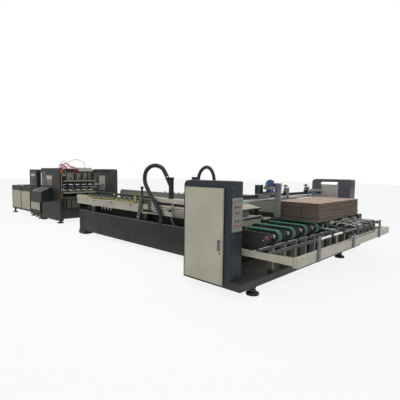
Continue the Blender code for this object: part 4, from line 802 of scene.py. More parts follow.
def belt_weave(name):
    finish = Finish(name)
    weave = finish.noise(150.0, 2.0, stretch=(0.35, 1.0, 1.0))
    tint = finish.mix(weave, rgb("1b5a45"), rgb("327a60"))
    ribs = finish.node("TexVoronoi", {"feature": "F1"}, {"Vector": finish.place(), "Scale": 85.0})
    patches = finish.between(ribs, 0.25, 0.55)
    teal = finish.mix(patches, rgb("4f9d80"), rgb("174a3a"))
    front = finish.between(finish.along("X"), BELT_FRONT_X, BELT_FRONT_X + 0.02)
    coat = {
        "tint": finish.mix(front, tint, teal), "rough": 0.55 + patches * 0.1, "metal": 0.0,
        "height": weave + patches * front * 2.0, "depth": 0.0012,
    }
    return finished(finish, coat, 0.6)


weave = belt_weave("belt_weave")
for name, solid in NODES.items():
    if name.startswith("feed_belt_"):
        solid.material_slots[0].material = weave

# %% [markdown]
# The pulleys under the belts have pale rims, which show as thin crescents beside the near belts,
# and hubs with a set collar on the axle. The pulley solids are plain, so the rims are turned
# rings laid against their flanks, and they follow the axle's centre line exactly.

# %% Pulley rims and hubs
BELT_PLACES = spread(-1.5, 1.5, 9)
AXLE_FRONT, AXLE_REAR = (5.6797, 0.7597), (5.1203, 0.7597)

rims = Piece("pulley_rims", "white_plastic")
hubs = Piece("pulley_hubs", "zinc")
for x, z in (AXLE_FRONT, AXLE_REAR):
    for y in BELT_PLACES:
        for side in (-1, 1):
            face = y + side * 0.0435
            ring = [(0.058, 0), (0.0685, 0), (0.0685, 0.003), (0.066, 0.0045), (0.058, 0.0045)]
            if side < 0 and x > 5.5:
                rims.turned(ring, (x, face, z), (0, side, 0), 28)
            hub = [(0.031, 0), (0.031, 0.012), (0.028, 0.015), (0.0186, 0.015)]
            hubs.turned(hub, (x, face, z), (0, side, 0), 20)
rims.done("cream_paint")
hubs.done("chrome")

# %% [markdown]
# The front axle ends in a red cap beside the near stand. Three pale guide rollers stand between
# the belts, a longer one lies beside the near table, and four small ones stand on stubs before
# the belts.

# %% Rollers and caps
red_cap = Piece("axle_cap", "pink_plastic")
cap_profile = [(0.0185, -0.004), (0.030, -0.004), (0.030, 0.012), (0.024, 0.018), (0.008, 0.020)]
red_cap.turned(cap_profile, (AXLE_FRONT[0], -1.709, AXLE_FRONT[1]), (0, -1, 0), 24)
red_cap.done("red_tube")

rollers = Piece("guide_rollers", "cream_hose")
axles = Piece("guide_roller_axles", "zinc")
sleeve = [(0.0188, -0.034), (0.024, -0.030), (0.024, 0.030), (0.0188, 0.034)]
for y in (0.56, 0.935, 1.31):
    rollers.turned(drum(0.010, 0.036, 0.040, 0.022, 0.018), (5.690, y, AXLE_FRONT[1]), (0, 1, 0), 28)
    axles.turned(sleeve, (AXLE_FRONT[0], y, AXLE_FRONT[1]), (0, 1, 0), 20)
rollers.turned(drum(0.008, 0.019, 0.022, 0.10, 0.097), (4.790, -0.330, 0.800), (0, 1, 0), 24)
axles.turned([(0.008, -0.115), (0.008, 0.115)], (4.790, -0.330, 0.800), (0, 1, 0), 14)
for y in (-0.445, -0.225):
    axles.block((4.565, 4.800), (y - 0.005, y + 0.005), (0.790, 0.812), 0.002)
    axles.block((4.565, 4.580), (y - 0.005, y + 0.005), (0.6605, 0.812), 0.002)
SMALL_X, SMALL_Z = 5.790, 0.812
for y in (0.04, 0.10, 0.548, 0.70):
    rollers.turned(drum(0.006, 0.022, 0.024, 0.016, 0.012), (SMALL_X, y, SMALL_Z), (0, 1, 0), 20)
    axles.tube([(SMALL_X, y - 0.02, SMALL_Z), (SMALL_X, y + 0.02, SMALL_Z)], 0.006, 10)
    axles.tube([(SMALL_X, y + 0.02, SMALL_Z), (SMALL_X, y + 0.02, 0.795)], 0.004, 8)
rollers.done("cream_paint")
axles.done("chrome")

# %% [markdown]
# ## The stands
# Posts on the base beam carry a rail, and plates rise from it between the belts to hold the
# axles. A round tie bar runs along the rail's front edge from the near cabinet, and each plate is
# bolted through.

# %% Stand details
STAND_POSTS = spread(-1.24, 1.44, 9)
tie_bar = Piece("stand_tie_bar", "chrome")
tie_bar.tube([(5.512, -1.888, 0.578), (5.512, 1.888, 0.578)], 0.007, 14)
tie_bar.done("chrome")
clips = Piece("stand_bolts", "zinc")
for y in STAND_POSTS:
    clips.bolts([(5.501, y, 0.560), (5.501, y, 0.535)], (1, 0, 0), 0.007)
    clips.block((5.500, 5.505), (y - 0.022, y + 0.022), (0.200, 0.235), 0.0012)
    clips.bolts([(5.505, y - 0.012, 0.220), (5.505, y + 0.012, 0.220)], (1, 0, 0), 0.005)
for y in [place + 0.1875 for place in spread(-1.875, 1.5, 10)]:
    clips.bolts([(5.62, y - 0.0112, 0.72), (5.18, y - 0.0112, 0.72)], (0, -1, 0), 0.008)
clips.done("chrome")
tie_clamps = Piece("tie_bar_clamps", "dark_steel")
for y in STAND_POSTS:
    tie_clamps.block((5.500, 5.523), (y - 0.010, y + 0.010), (0.566, 0.590), 0.003)
tie_clamps.done("black_paint")

# %% [markdown]
# ## The front bar
# The bar is a square cream tube on two arms. Its ends are capped, and each arm is a bent strap
# that deepens towards the bar. The uprights on it are bolted, and the chrome tube they hold
# carries clamps, thin feeler rods that reach back to the stands, a knob and a bent wire.

# %% Bar caps and arm webs
BAR_X, BAR_Z = (6.132, 6.192), (0.48, 0.60)
bar_caps = Piece("bar_end_caps", "cream_paint")
webs = Piece("bar_arm_webs", "cream_paint")
for side in (-1, 1):
    face = side * 1.840
    bar_caps.block(
        (BAR_X[0] + 0.006, BAR_X[1] - 0.006), laid_on(face, side, 0.02, -0.002),
        (BAR_Z[0] + 0.006, BAR_Z[1] - 0.006), 0.003)
    bow = [(5.56 + 0.571 * t, 0.505 - 0.022 * t * t) for t in spread(0.1, 1.0, 8)]
    web = [(5.56, 0.505)] + bow + [(6.131, 0.597), (5.95, 0.590), (5.56, 0.575)]
    low_y, high_y = sorted((side * 1.785, side * 1.782))
    webs.plate(web, "Y", low_y - 0.002, high_y - 0.001, 0.0008)
bar_caps.done("cream_paint")
webs.done("cream_paint")

# %% Posts, clamps and feelers
POST_PLACES = (-1.285, -0.05, 1.21)
TUBE_X, TUBE_Z = 6.1853, 0.76
post_bolts = Piece("post_bolts", "zinc")
for y in POST_PLACES:
    post_bolts.bolts([(6.2098, y, z) for z in (0.505, 0.575)], (1, 0, 0), 0.009)
post_bolts.done("chrome")

clamps = Piece("tube_clamps", "black_plastic")
knobs = Piece("tube_clamp_knobs", "black_plastic")
feelers = Piece("feeler_rods", "zinc")
TALL_KNOB = 0.90
for y in (-0.86, -0.46, 0.12, 0.40, 0.66, TALL_KNOB, 1.10):
    clamps.turned(drum(0.0142, 0.026, 0.028, 0.018, 0.014), (TUBE_X, y, TUBE_Z), (0, 1, 0), 20)
    clamps.block(
        (TUBE_X - 0.012, TUBE_X + 0.012), (y - 0.012, y + 0.012),
        (TUBE_Z + 0.020, TUBE_Z + 0.030), 0.003)
knob = [(0.006, 0.024), (0.006, 0.036), (0.017, 0.038), (0.018, 0.048), (0.012, 0.054)]
knobs.turned(knob, (TUBE_X, TALL_KNOB, TUBE_Z), (0, 0, 1), 12)
for y in (0.12, 0.40, 0.66, TALL_KNOB):
    reach = [
        (TUBE_X, y, 0.781), (6.05, y + 0.01, 0.800), (5.86, y + 0.03, 0.806),
        (5.74, y + 0.05, 0.800),
    ]
    feelers.tube(bend(reach), 0.006, 10)
    feelers.tube([(5.80, y - 0.09, 0.805), (5.80, y + 0.15, 0.805)], 0.005, 10)
feelers.tube([(5.90, 0.0, 0.797), (5.90, 1.05, 0.797)], 0.007, 12)
feelers.tube([(6.04, -0.02, 0.793), (6.04, 1.08, 0.793)], 0.006, 12)
clamps.done("black_rubber")
knobs.done("black_rubber")
feelers.done("chrome")

# %% [markdown]
# Behind the bar, between its two far posts, hangs a shallow dark tool tray with a rolled edge
# and slots. It is a thin bent sheet, so it is made as plates and not as a solid block.

# %% Tool tray
TRAY_Y = (0.290, 1.215)
tray = Piece("bar_tool_tray", "brown_steel")
tray.block((6.122, 6.125), TRAY_Y, (0.6010, 0.735), 0.0012)
tray.block((5.985, 6.122), TRAY_Y, (0.6010, 0.6040), 0.0012)
tray.block((5.985, 5.988), TRAY_Y, (0.6010, 0.690), 0.0012)
for y in spread(0.34, 1.17, 9):
    tray.block((5.990, 6.120), (y - 0.003, y + 0.003), (0.6030, 0.700), 0.001)
tray.tube([(6.1235, 0.290, 0.737), (6.1235, 1.215, 0.737)], 0.005, 10)
for y in (0.290, 1.212):
    tray.block((5.870, 6.1215), (y, y + 0.003), (0.6010, 0.7745), 0.001)
for y in spread(0.32, 1.14, 6):
    tray.block((5.865, 6.085), (y, y + 0.115), (0.7735, 0.7760), 0.001)
tray.block((5.900, 5.912), TRAY_Y, (0.7700, 0.7738), 0.001)
tray.block((6.050, 6.062), TRAY_Y, (0.7700, 0.7738), 0.001)
tray.done("black_paint")
tray_bits = Piece("tray_rollers", "red_steel")
for y in spread(0.45, 0.95, 4):
    tray_bits.turned(drum(0.006, 0.013, 0.015, 0.03, 0.026), (6.142, y, 0.660), (0, 1, 0), 20)
    tray_bits.block((6.1245, 6.142), (y - 0.006, y + 0.006), (0.650, 0.660), 0.002)
tray_bits.done("red_tube")

# %% [markdown]
# The rail under the stands has a dark cover with a thin rod before it. The near table's front
# edge carries a bright rod between two dark strips, which are painted shadow lines.

# %% Rail cover, rods and strips
stand_rail = Piece("stand_rail_cover", "dark_steel")
stand_rail.block((5.7205, 5.7245), (-1.685, 1.685), (0.5255, 0.5845), 0.001)
stand_rail.done("black_paint")
rail_rod = Piece("stand_rail_rod", "grey_steel")
rail_rod.tube([(5.731, -1.73, 0.578), (5.731, 1.70, 0.578)], 0.0050, 12)
for y in (-1.60, -0.60, 0.60, 1.60):
    rail_rod.block((5.7240, 5.7330), (y - 0.012, y + 0.012), (0.566, 0.590), 0.002)
rail_rod.done("chrome")
table_rod = Piece("table_front_rods", "chrome")
table_rod.tube([(4.952, -1.885, 0.905), (4.952, -0.755, 0.905)], 0.010, 14)
for y in (-1.80, -1.30, -0.80):
    table_rod.block((4.9405, 4.954), (y - 0.010, y + 0.010), (0.893, 0.917), 0.002)
table_rod.done("chrome")
# Painted shadow: dark strips under the rod and under the table's top edge.
table_shadow = Piece("table_front_shadow_strips", "dark_belt")
table_shadow.block((4.9405, 4.9445), (-1.885, -0.755), (1.018, 1.034), 0.001)
table_shadow.block((4.9405, 4.9445), (-1.885, -0.755), (0.868, 0.886), 0.001)
table_shadow.done("black_rubber")

# %% [markdown]
# A white wire runs forward over the belts and bends down to the bar. A sleeve covers the tube's
# near part.

# %% Bent wire and tube sleeve
WIRE_DOWN = (
    (5.99, -0.42, 0.775), (6.02, -0.38, 0.778), (6.04, -0.36, 0.750), (6.045, -0.355, 0.68),
    (6.05, -0.35, 0.61), (6.06, -0.35, 0.545), (6.128, -0.35, 0.535),
)
WIRE_ALONG = ((5.60, -0.47, 0.790), (5.75, -0.46, 0.785), (5.88, -0.44, 0.780), (5.99, -0.42, 0.775))
wire = Piece("bent_wire", "white_plastic")
for route in (WIRE_DOWN, WIRE_ALONG):
    wire.tube(bend(route), 0.0055, 10)
wire.done("cream_paint")
tube_sleeve = Piece("tube_sleeve", "chrome")
tube_sleeve.tube([(TUBE_X, -1.24, TUBE_Z), (TUBE_X, -0.50, TUBE_Z)], 0.0155, 20)
tube_sleeve.done("chrome")

# %% [markdown]
# ## The stack of blanks
# The boards lie on the belts, some forty of them. A stack reads as real through small things: no
# two boards are quite in line, the fluted core shows as a dark line between two pale liners, and
# the slots cut for the flaps line up as dark creases down the sides. Each board is its own thin
# plate with slots, pushed a few millimetres at random, and every six boards are a bundle that is
# pushed together. One seed keeps the stack the same every time. The stack replaces the plain
# block, which stays for collision only, hidden.

# %% Board stack
BOARDS, BUNDLE = 42, 6
BUNDLE_PUSH_X, BUNDLE_PUSH_Y, BOARD_PUSH = 0.009, 0.006, 0.0030
STACK_LOW, STACK_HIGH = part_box("board_stack")
PITCH = (STACK_HIGH[2] - STACK_LOW[2]) / BOARDS
SLOT_DEEP, SLOT_WIDE = 0.045, 0.006
NEAR_SLOTS = (5.44,)
FRONT_SLOTS = (0.16, 0.72)
chance = random.Random(17)


def board_outline(push_x, push_y):
    """A blank seen from above, with narrow slots cut in from its near and front edges."""
    low_x, high_x = STACK_LOW[0] + 0.004 + push_x, STACK_HIGH[0] - 0.004 + push_x
    low_y, high_y = STACK_LOW[1] + 0.004 + push_y, STACK_HIGH[1] - 0.004 + push_y
    outline = [(low_x, low_y)]
    for x in NEAR_SLOTS:
        a, b = x + push_x, x + push_x + SLOT_WIDE
        outline += [(a, low_y), (a, low_y + SLOT_DEEP), (b, low_y + SLOT_DEEP), (b, low_y)]
    outline.append((high_x, low_y))
    for y in FRONT_SLOTS:
        a, b = y + push_y, y + push_y + SLOT_WIDE
        outline += [(high_x, a), (high_x - SLOT_DEEP, a), (high_x - SLOT_DEEP, b), (high_x, b)]
    return outline + [(high_x, high_y), (low_x, high_y)]


def board_finish():
    """Brown liners above; on the edges a darker fluted core between two pale lines, which is painted shade
    in the flute hollows, and painted shade on the edges that face the near side.
    """
    finish = Finish("corrugated_board")
    layer = finish.math("FRACT", (finish.along("Z") - STACK_LOW[2]) / PITCH)
    core = finish.between(layer, 0.12, 0.25) * (1.0 - finish.between(layer, 0.62, 0.78))
    sideways = finish.along("X") + finish.along("Y")
    flutes = finish.between(finish.math("SINE", sideways * (math.tau / 0.0075)), -0.2, 0.6)
    grain = finish.noise(14.0, 5.0, stretch=(1.0, 1.0, 3.0))
    patches = finish.between(finish.noise(3.0, 4.0, stretch=(1.0, 1.0, 9.0), seed=2.0), 0.35, 0.7)
    up = finish.node("NewGeometry").out("Normal")
    facing = finish.node("SeparateXYZ", None, {0: up})
    top = finish.between(facing.out("Z"), 0.6, 0.9)
    # The edges that face the near side are painted darker: painted shade on that side.
    near = finish.between(facing.out("Y") * -1.0, 0.3, 0.8)
    edge = finish.mix(near, rgb("aa9d91"), rgb("8a7f75"))
    # The core's dark line, rippled by the flutes, is painted shade in the flute hollows.
    edge = finish.mix(core * (0.55 + flutes * 0.35), edge, rgb("3d342e"))
    edge = finish.mix(patches * 0.35, edge, rgb("93816f"))
    bundles = finish.noise(1.0, 2.0, stretch=(0.8, 0.8, 70.0), seed=6.0)
    edge = finish.mix(finish.between(bundles, 0.50, 0.58) * 0.55, edge, rgb("3f362f"))
    edge = finish.mix(finish.between(bundles, 0.44, 0.36) * 0.45, edge, rgb("b0a091"))
    liner = finish.mix(grain, rgb("ab9484"), rgb("c4ae9e"))
    coat = {
        "tint": finish.mix(top, edge, liner), "rough": 0.85 + grain * 0.08, "metal": 0.0,
        "height": grain + flutes * core, "depth": 0.0012,
    }
    return finished(finish, coat, 0.6)


boards = Piece("board_blanks", board_finish())
for i in range(BOARDS):
    if i % BUNDLE == 0:
        bundle_x = chance.uniform(-BUNDLE_PUSH_X, BUNDLE_PUSH_X)
        bundle_y = chance.uniform(-BUNDLE_PUSH_Y, BUNDLE_PUSH_Y)
    push_x = bundle_x + chance.uniform(-BOARD_PUSH, BOARD_PUSH)
    push_y = bundle_y + chance.uniform(-BOARD_PUSH, BOARD_PUSH)
    z = STACK_LOW[2] + PITCH * i
    boards.plate(board_outline(push_x, push_y), "Z", z + 0.0003, z + PITCH - 0.0006, 0.0008)
stack = boards.done("cardboard")
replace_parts(stack, "board_stack")

# %% [markdown]
# ## Side guides and their drive
# A ground plate hangs on each side of the stack. The near one has a folded lip, a wear strip with
# countersunk screws, and the upright gear motor with its fins, terminal box and fan cover. All of
# that rides on the guide's own body, so it slides with it.

# %% Guide plates
for body, reach, middle, inward, columns in (
        ("near_guide", 0.11, -0.42, 1, 2), ("far_guide", 0.33, 1.40, -1, 4)):
    face = middle + inward * 0.02
    strip = Piece(body + "_wear_strip", "zinc", body)
    for z in ((0.872, 1.16), (1.19, 1.43)):
        strip.block((5.003, 5.0 + reach - 0.003), laid_on(face, inward, 0.0008, 0.003), z, 0.001)
    strip.done("chrome")
    lip = Piece(body + "_lip", "panel_alloy", body)
    lip.block((4.998, 5.002 + reach), (middle - 0.0225, middle + 0.0225), (1.430, 1.4415), 0.002)
    lip.done("panel_alloy")
    screws = Piece(body + "_screws", "dark_steel", body)
    for x in spread(5.02, 5.0 + reach - 0.02, columns):
        for z in (0.90, 1.02, 1.13, 1.22, 1.40):
            spot = (x, middle - inward * 0.02, z)
            screws.turned([(0.008, -0.001), (0.008, 0.004), (0.006, 0.006)], spot, (0, -inward, 0), 6)
            spot = (x, face + inward * 0.003, z)
            screws.turned([(0.007, -0.0005), (0.0065, 0.0006), (0.003, 0.0004)], spot, (0, inward, 0), 14)
    screws.done("black_paint")
FOLDED_EDGE = [
    (1.3450, 1.4010), (1.3480, 1.3990), (1.3770, 1.4350), (1.4230, 1.4430), (1.4230, 1.4470),
    (1.3770, 1.4470),
]
far_edge = Piece("far_guide_top_edge", "chrome", "far_guide")
far_edge.plate(FOLDED_EDGE, "X", 5.003, 5.331, 0.001)
far_edge.done("panel_alloy")

# %% Gear motor
MOTOR = (4.96, -0.525, 1.2913)
FAN_COVER = [
    (0.050, 0.158), (0.066, 0.158), (0.068, 0.162), (0.068, 0.178), (0.060, 0.190), (0.052, 0.196),
]
BAND = [
    (0.080, 0.050), (0.0862, 0.052), (0.0868, 0.056), (0.0868, 0.088), (0.0862, 0.092), (0.080, 0.094),
]
GLAND = [(0.011, 0), (0.011, 0.010), (0.008, 0.014), (0.008, 0.024), (0.0045, 0.026)]
motor_fins = Piece("motor_fins", "blue_paint", "near_guide")
for out_x, out_y in around(24):
    side_x, side_y = -out_y * 0.0018, out_x * 0.0018
    outline = [
        (MOTOR[0] + out_x * r + side_x * s, MOTOR[1] + out_y * r + side_y * s)
        for r, s in ((0.070, -1), (0.0835, -1), (0.0835, 1), (0.070, 1))
    ]
    motor_fins.plate(outline, "Z", MOTOR[2] + 0.098, MOTOR[2] + 0.148, 0.0006)
motor_fins.turned(FAN_COVER, MOTOR, (0, 0, 1), 32)
motor_fins.block((4.925, 4.995), (-0.620, -0.600), (1.385, 1.445), 0.004)
motor_fins.done("blue_paint")
motor_band = Piece("motor_band", "panel_alloy", "near_guide")
motor_band.turned(BAND, MOTOR, (0, 0, 1), 40)
motor_band.block((4.880, 5.040), (-0.604, -0.446), (1.335, 1.385), 0.004)
motor_band.done("panel_alloy")
motor_bolts = Piece("motor_bolts", "zinc", "near_guide")
for out_x, out_y in around(4, 0.5):
    spot = (MOTOR[0] + out_x * 0.068, MOTOR[1] + out_y * 0.068, MOTOR[2] + 0.013)
    motor_bolts.bolts([spot], (0, 0, 1), 0.007)
motor_bolts.turned(GLAND, (4.96, -0.619, 1.415), (0, -1, 0), 16)
motor_bolts.done("chrome")
control = Piece("control_box_cover", "slate_paint", "near_guide")
control.block((4.749, 4.831), (-0.6625, -0.6600), (1.262, 1.402), 0.001)
control.block((4.8345, 4.8375), (-0.652, -0.554), (1.262, 1.402), 0.001)
control.done("slate_paint")

# %% [markdown]
# ## Front stops
# Two stops hang over the stack from the rail. Each has a clamp with a black star knob on a
# screw, and a pale guide tongue that reaches down in front of the boards.

# %% Stops
star = Piece("stop_star_knobs", "black_plastic")
stop_clamps = Piece("stop_clamps", "dark_steel")
tongues = Piece("stop_tongues", "panel_alloy")
for y in (0.28, 1.10):
    for out_x, out_y in around(6):
        spot = (4.79 + out_x * 0.034, y + out_y * 0.034, 1.366)
        star.turned([(0.008, 0), (0.0125, 0.003), (0.0125, 0.015), (0.008, 0.019)], spot, (0, 0, 1), 14)
    star.turned([(0.016, 0.059), (0.018, 0.062), (0.012, 0.068)], (4.79, y, 1.335), (0, 0, 1), 16)
    stop_clamps.block((4.757, 4.823), (y - 0.032, y + 0.032), (1.2415, 1.275), 0.004)
    stop_clamps.block((4.820, 4.850), (y - 0.020, y + 0.020), (1.2415, 1.330), 0.004)
    stop_clamps.bolts([(4.79, y - 0.032, 1.258)], (0, -1, 0), 0.007)
    tongues.block((4.850, 4.8615), (y - 0.024, y + 0.024), (1.145, 1.345), 0.003)
    tongues.block((4.824, 4.862), (y - 0.024, y + 0.024), (1.338, 1.346), 0.002)
tongues.block((4.8500, 4.8545), (0.205, 0.2555), (1.125, 1.335), 0.001)
star.done("black_rubber")
stop_clamps.done("black_paint")
tongues.done("panel_alloy")

# %% [markdown]
# The shaft ends in screwed flanges on the cabinets' inner sides, and the tables carry bright
# strips and two rows of screws along their front faces.

# %% Rail flanges and table trim
FLANGE = [
    (0.0285, 0), (0.052, 0), (0.052, 0.010), (0.046, 0.013), (0.036, 0.013), (0.034, 0.030),
    (0.0285, 0.030),
]
FLANGE_SCREWS = ((0.043, 0), (-0.043, 0), (0, -0.043))
flanges = Piece("rail_flanges", "zinc")
for side in (-1, 1):
    spot = (4.79, side * 1.8895, 1.150)
    flanges.turned(FLANGE, spot, (0, -side, 0), 28)
    around_it = [(4.79 + dx, side * 1.8765, 1.150 + dz) for dx, dz in FLANGE_SCREWS]
    flanges.bolts(around_it, (0, -side, 0), 0.005)
flanges.done("chrome")
table_trim = Piece("table_edge_strips", "chrome")
for low_y, high_y in ((-1.885, -0.755), (0.755, 1.885)):
    table_trim.block((4.9395, 4.9435), (low_y, high_y), (0.893, 0.9015), 0.001)
    table_trim.block((4.9395, 4.9425), (low_y, high_y), (1.031, 1.0395), 0.001)
table_trim.done("chrome")
table_screws = Piece("table_screws", "zinc")
for low_y, high_y in ((-1.85, -0.80), (0.80, 1.85)):
    for y in spread(low_y, high_y, 5):
        table_screws.bolts([(4.9405, y, 0.74), (4.9405, y, 0.85)], (1, 0, 0), 0.007)
table_screws.done("chrome")

# %% [markdown]
# ## Dust hoses
# The hoses are wire-wound rubber, ribbed all along. A tube swept along the route with a repeating
# pattern of four radii gives real ribs, which bumps alone would not show on the outline. Each
# hose is held at both ends by a collar with a screwed clamp, so it stands as it does here.

# %% Hose helpers
RIB_STEP = 0.0055
RIBS = (0.0, 0.0022, 0.0030, 0.0012)


def ribbed_hose(piece, points, radius):
    """A hose along points, with ribs about 22 mm apart that never stand past its radius."""
    piece.tube(bend(points, RIB_STEP), radius - max(RIBS), 20, RIBS)


def hose_clamp(piece, place, toward, radius):
    """A worm-drive clamp: a band with rolled edges and its screw housing."""
    band = drum(radius - 0.002, radius + 0.0025, radius + 0.0035, 0.008, 0.006)
    piece.turned(band, place, toward, 28)
    place, toward = Vector(place), Vector(toward).normalized()
    out = toward.cross(Vector((0, 1, 0))).normalized()
    middle = place + out * (radius + 0.007)
    side = toward.cross(out)
    piece.turned([(0.004, -0.012), (0.0062, -0.010), (0.0062, 0.010), (0.004, 0.012)], middle, side, 10)


# %% The thick hose
HOSE_1 = (
    (3.055, -1.150, 1.474), (2.964, -1.150, 1.602), (2.882, -1.150, 1.682), (2.779, -1.160, 1.722),
    (2.685, -1.170, 1.734), (2.566, -1.180, 1.716), (2.467, -1.200, 1.651), (2.426, -1.220, 1.558),
    (2.439, -1.240, 1.458), (2.479, -1.255, 1.368), (2.566, -1.262, 1.258), (2.670, -1.265, 1.142),
    (2.766, -1.265, 1.042), (2.850, -1.265, 0.950), (2.940, -1.265, 0.850), (2.990, -1.265, 0.760),
    (3.005, -1.265, 0.680), (3.005, -1.265, 0.605),
)
thick_hose = Piece("dust_hose_thick", "black_rubber")
ribbed_hose(thick_hose, HOSE_1, 0.042)
foot = Vector((3.005, -1.265, 0.6003))
collar = [(0.040, 0.070), (0.052, 0.066), (0.052, 0.016), (0.067, 0.014), (0.067, 0), (0.040, 0)]
thick_hose.turned(collar, foot, (0, 0, 1), 32)
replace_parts(thick_hose.done("black_rubber"), "dust_hose_1")
foot_clamp = Piece("hose_foot_clamp", "dark_steel")
hose_clamp(foot_clamp, foot + Vector((0, 0, 0.085)), (0, 0, 1), 0.043)
foot_clamp.done("black_paint")
hose_clamps = Piece("hose_clamps", "zinc")
start = Vector(HOSE_1[0])
heading = (Vector(HOSE_1[1]) - start).normalized()
hose_clamp(hose_clamps, start + heading * 0.028, heading, 0.043)

# %% The thin hose
THIN_Y = -1.15
HOSE_2 = (
    (3.860, THIN_Y, 1.096), (3.862, THIN_Y, 1.25), (3.868, THIN_Y, 1.42), (3.900, THIN_Y, 1.57),
    (3.965, THIN_Y, 1.655), (4.045, THIN_Y, 1.696), (4.125, THIN_Y, 1.690), (4.190, THIN_Y, 1.640),
    (4.235, THIN_Y, 1.555), (4.258, THIN_Y, 1.42), (4.264, THIN_Y, 1.25), (4.265, THIN_Y, 1.096),
)
thin_hose = Piece("dust_hose_thin", "black_rubber")
ribbed_hose(thin_hose, HOSE_2, 0.030)
for x in (3.860, 4.265):
    ring = [(0.028, 0.050), (0.0335, 0.048), (0.0335, 0.012), (0.040, 0.010), (0.040, 0), (0.028, 0)]
    thin_hose.turned(ring, (x, THIN_Y, 1.0956), (0, 0, 1), 28)
thin_hose.block((3.746, 3.826), (-1.1915, -1.1085), (1.0956, 1.524), 0.004)
thin_hose.block((3.815, 3.8335), (-1.170, -1.130), (1.44, 1.50), 0.003)
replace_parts(thin_hose.done("black_rubber"), "dust_hose_2")
for x, z in ((3.861, 1.16), (3.866, 1.45)):
    hose_clamp(hose_clamps, (x, THIN_Y, z), (0.05, 0, 1), 0.0305)
hose_clamp(hose_clamps, (4.264, THIN_Y, 1.16), (0, 0, 1), 0.0305)
hose_clamps.done("chrome")

# %% Duct post trim
DUCT = (3.155, -1.15)
DUCT_COLLAR = [(0.046, 0), (0.0585, 0), (0.0585, 0.012), (0.054, 0.016), (0.046, 0.016)]
DUCT_CAP = [(0.020, 0), (0.049, 0), (0.049, 0.006), (0.030, 0.012), (0.020, 0.012)]
duct_trim = Piece("duct_post_trim", "black_paint")
for profile, z in ((DUCT_COLLAR, 1.0955), (DUCT_COLLAR, 1.485), (DUCT_CAP, 1.4925)):
    duct_trim.turned(profile, (*DUCT, z), (0, 0, 1), 32)
duct_trim.done("black_paint")

# %% [markdown]
# ## The near belt beam
# The beam's outer top edge carries a worn brass strip. Ten small rollers press the board's flap
# onto the belt, each on an arm, and two of the arms carry a yellow knob. A brass fitting and a
# yellow ring stand near the strip's two ends.

# %% Brass strip and press rollers
BEAM_FACE = -1.21
brass = Piece("brass_edge_strip", "brass")
brass.block((0.06, 2.10), (-1.2385, -1.2105), (0.9555, 0.9735), 0.002)
brass.block((0.06, 2.10), (-1.2135, -1.2095), (0.925, 0.9725), 0.001)
for x in spread(0.12, 2.04, 9):
    brass.turned([(0.0055, 0), (0.0055, 0.002), (0.003, 0.003)], (x, -1.2135, 0.940), (0, -1, 0), 10)
brass.done("brass")

roller_white = Piece("press_rollers", "white_plastic")
roller_grey = Piece("press_rollers_worn", "worn_cream")
roller_dark = Piece("press_roller_arms", "dark_steel")
roller_knobs = Piece("press_roller_knobs", "yellow_plastic")
KNOBBED, PALE_FROM = (5, 9), 1.5
ROLLER_PLACES = spread(0.22, 2.02, 10)
for i, x in enumerate(ROLLER_PLACES):
    middle = (x, -1.195, 1.0155)
    roller = roller_white if x > PALE_FROM else roller_grey
    roller.turned(drum(0.006, 0.013, 0.016, 0.012, 0.009), middle, (0, 1, 0), 24)
    roller_dark.turned([(0.0055, -0.024), (0.0055, 0.060)], middle, (0, 1, 0), 12)
    arm = [
        (x - 0.012, 0.9405), (x + 0.050, 0.9405), (x + 0.050, 0.960), (x + 0.012, 1.030),
        (x - 0.012, 1.030),
    ]
    roller_dark.plate(arm, "Y", -1.2195, -1.2145, 0.001)
    roller_dark.bolts([(x + 0.038, -1.2195, 0.950)], (0, -1, 0), 0.005)
    if i in KNOBBED:
        lobes = [(0.006, 0), (0.017, 0.003), (0.021, 0.010), (0.021, 0.022), (0.014, 0.028)]
        roller_dark.turned([(0.005, 0), (0.005, 0.030)], (x + 0.02, -1.2015, 1.0305), (0, 0, 1), 10)
        roller_dark.block((x + 0.006, x + 0.034), (-1.2145, -1.190), (1.022, 1.031), 0.002)
        roller_knobs.turned(lobes, (x + 0.02, -1.2015, 1.0585), (0, 0, 1), 14)
roller_white.done("cream_paint")
roller_grey.done("cream_paint")
roller_dark.done("black_paint")
roller_knobs.done("brass")
side_bar = Piece("press_roller_bar", "slate_paint")
side_bar.tube([(0.18, -1.2105, 1.036), (2.10, -1.2105, 1.036)], 0.0045, 12)
side_bar.done("slate_paint")

# %% Fitting and ring at the beam's ends
fitting = Piece("belt_nose_fitting", "brass")
fitting.block((0.10, 0.19), (-1.236, -1.2105), (0.975, 1.022), 0.005)
nozzle = [(0.020, 0), (0.024, 0.004), (0.024, 0.016), (0.018, 0.020)]
fitting.turned(nozzle, (0.145, -1.236, 0.998), (0, -1, 0), 20)
outlet = ((0.10, -1.222, 0.985), (0.07, -1.225, 0.975), (0.05, -1.232, 0.945), (0.045, -1.234, 0.90))
fitting.tube(bend(outlet), 0.007, 10)
fitting.done("brass")
ring = Piece("belt_end_ring", "yellow_plastic")
turns = [math.tau * k / 28 for k in range(29)]
ring.tube([(2.085 + math.cos(t) * 0.026, -1.2285, 1.035 + math.sin(t) * 0.026) for t in turns], 0.006, 10)
ring.block((2.06, 2.11), (-1.226, -1.2105), (0.975, 1.004), 0.003)
ring.done("brass")

# %% [markdown]
# The valve brackets hang in a row of four on the beam's side, each a bent strap with a short pale
# tube and a black base. Behind the lever a slanted rod passes the air valves, and two thin air
# hoses loop from the beam down to the plate under them.

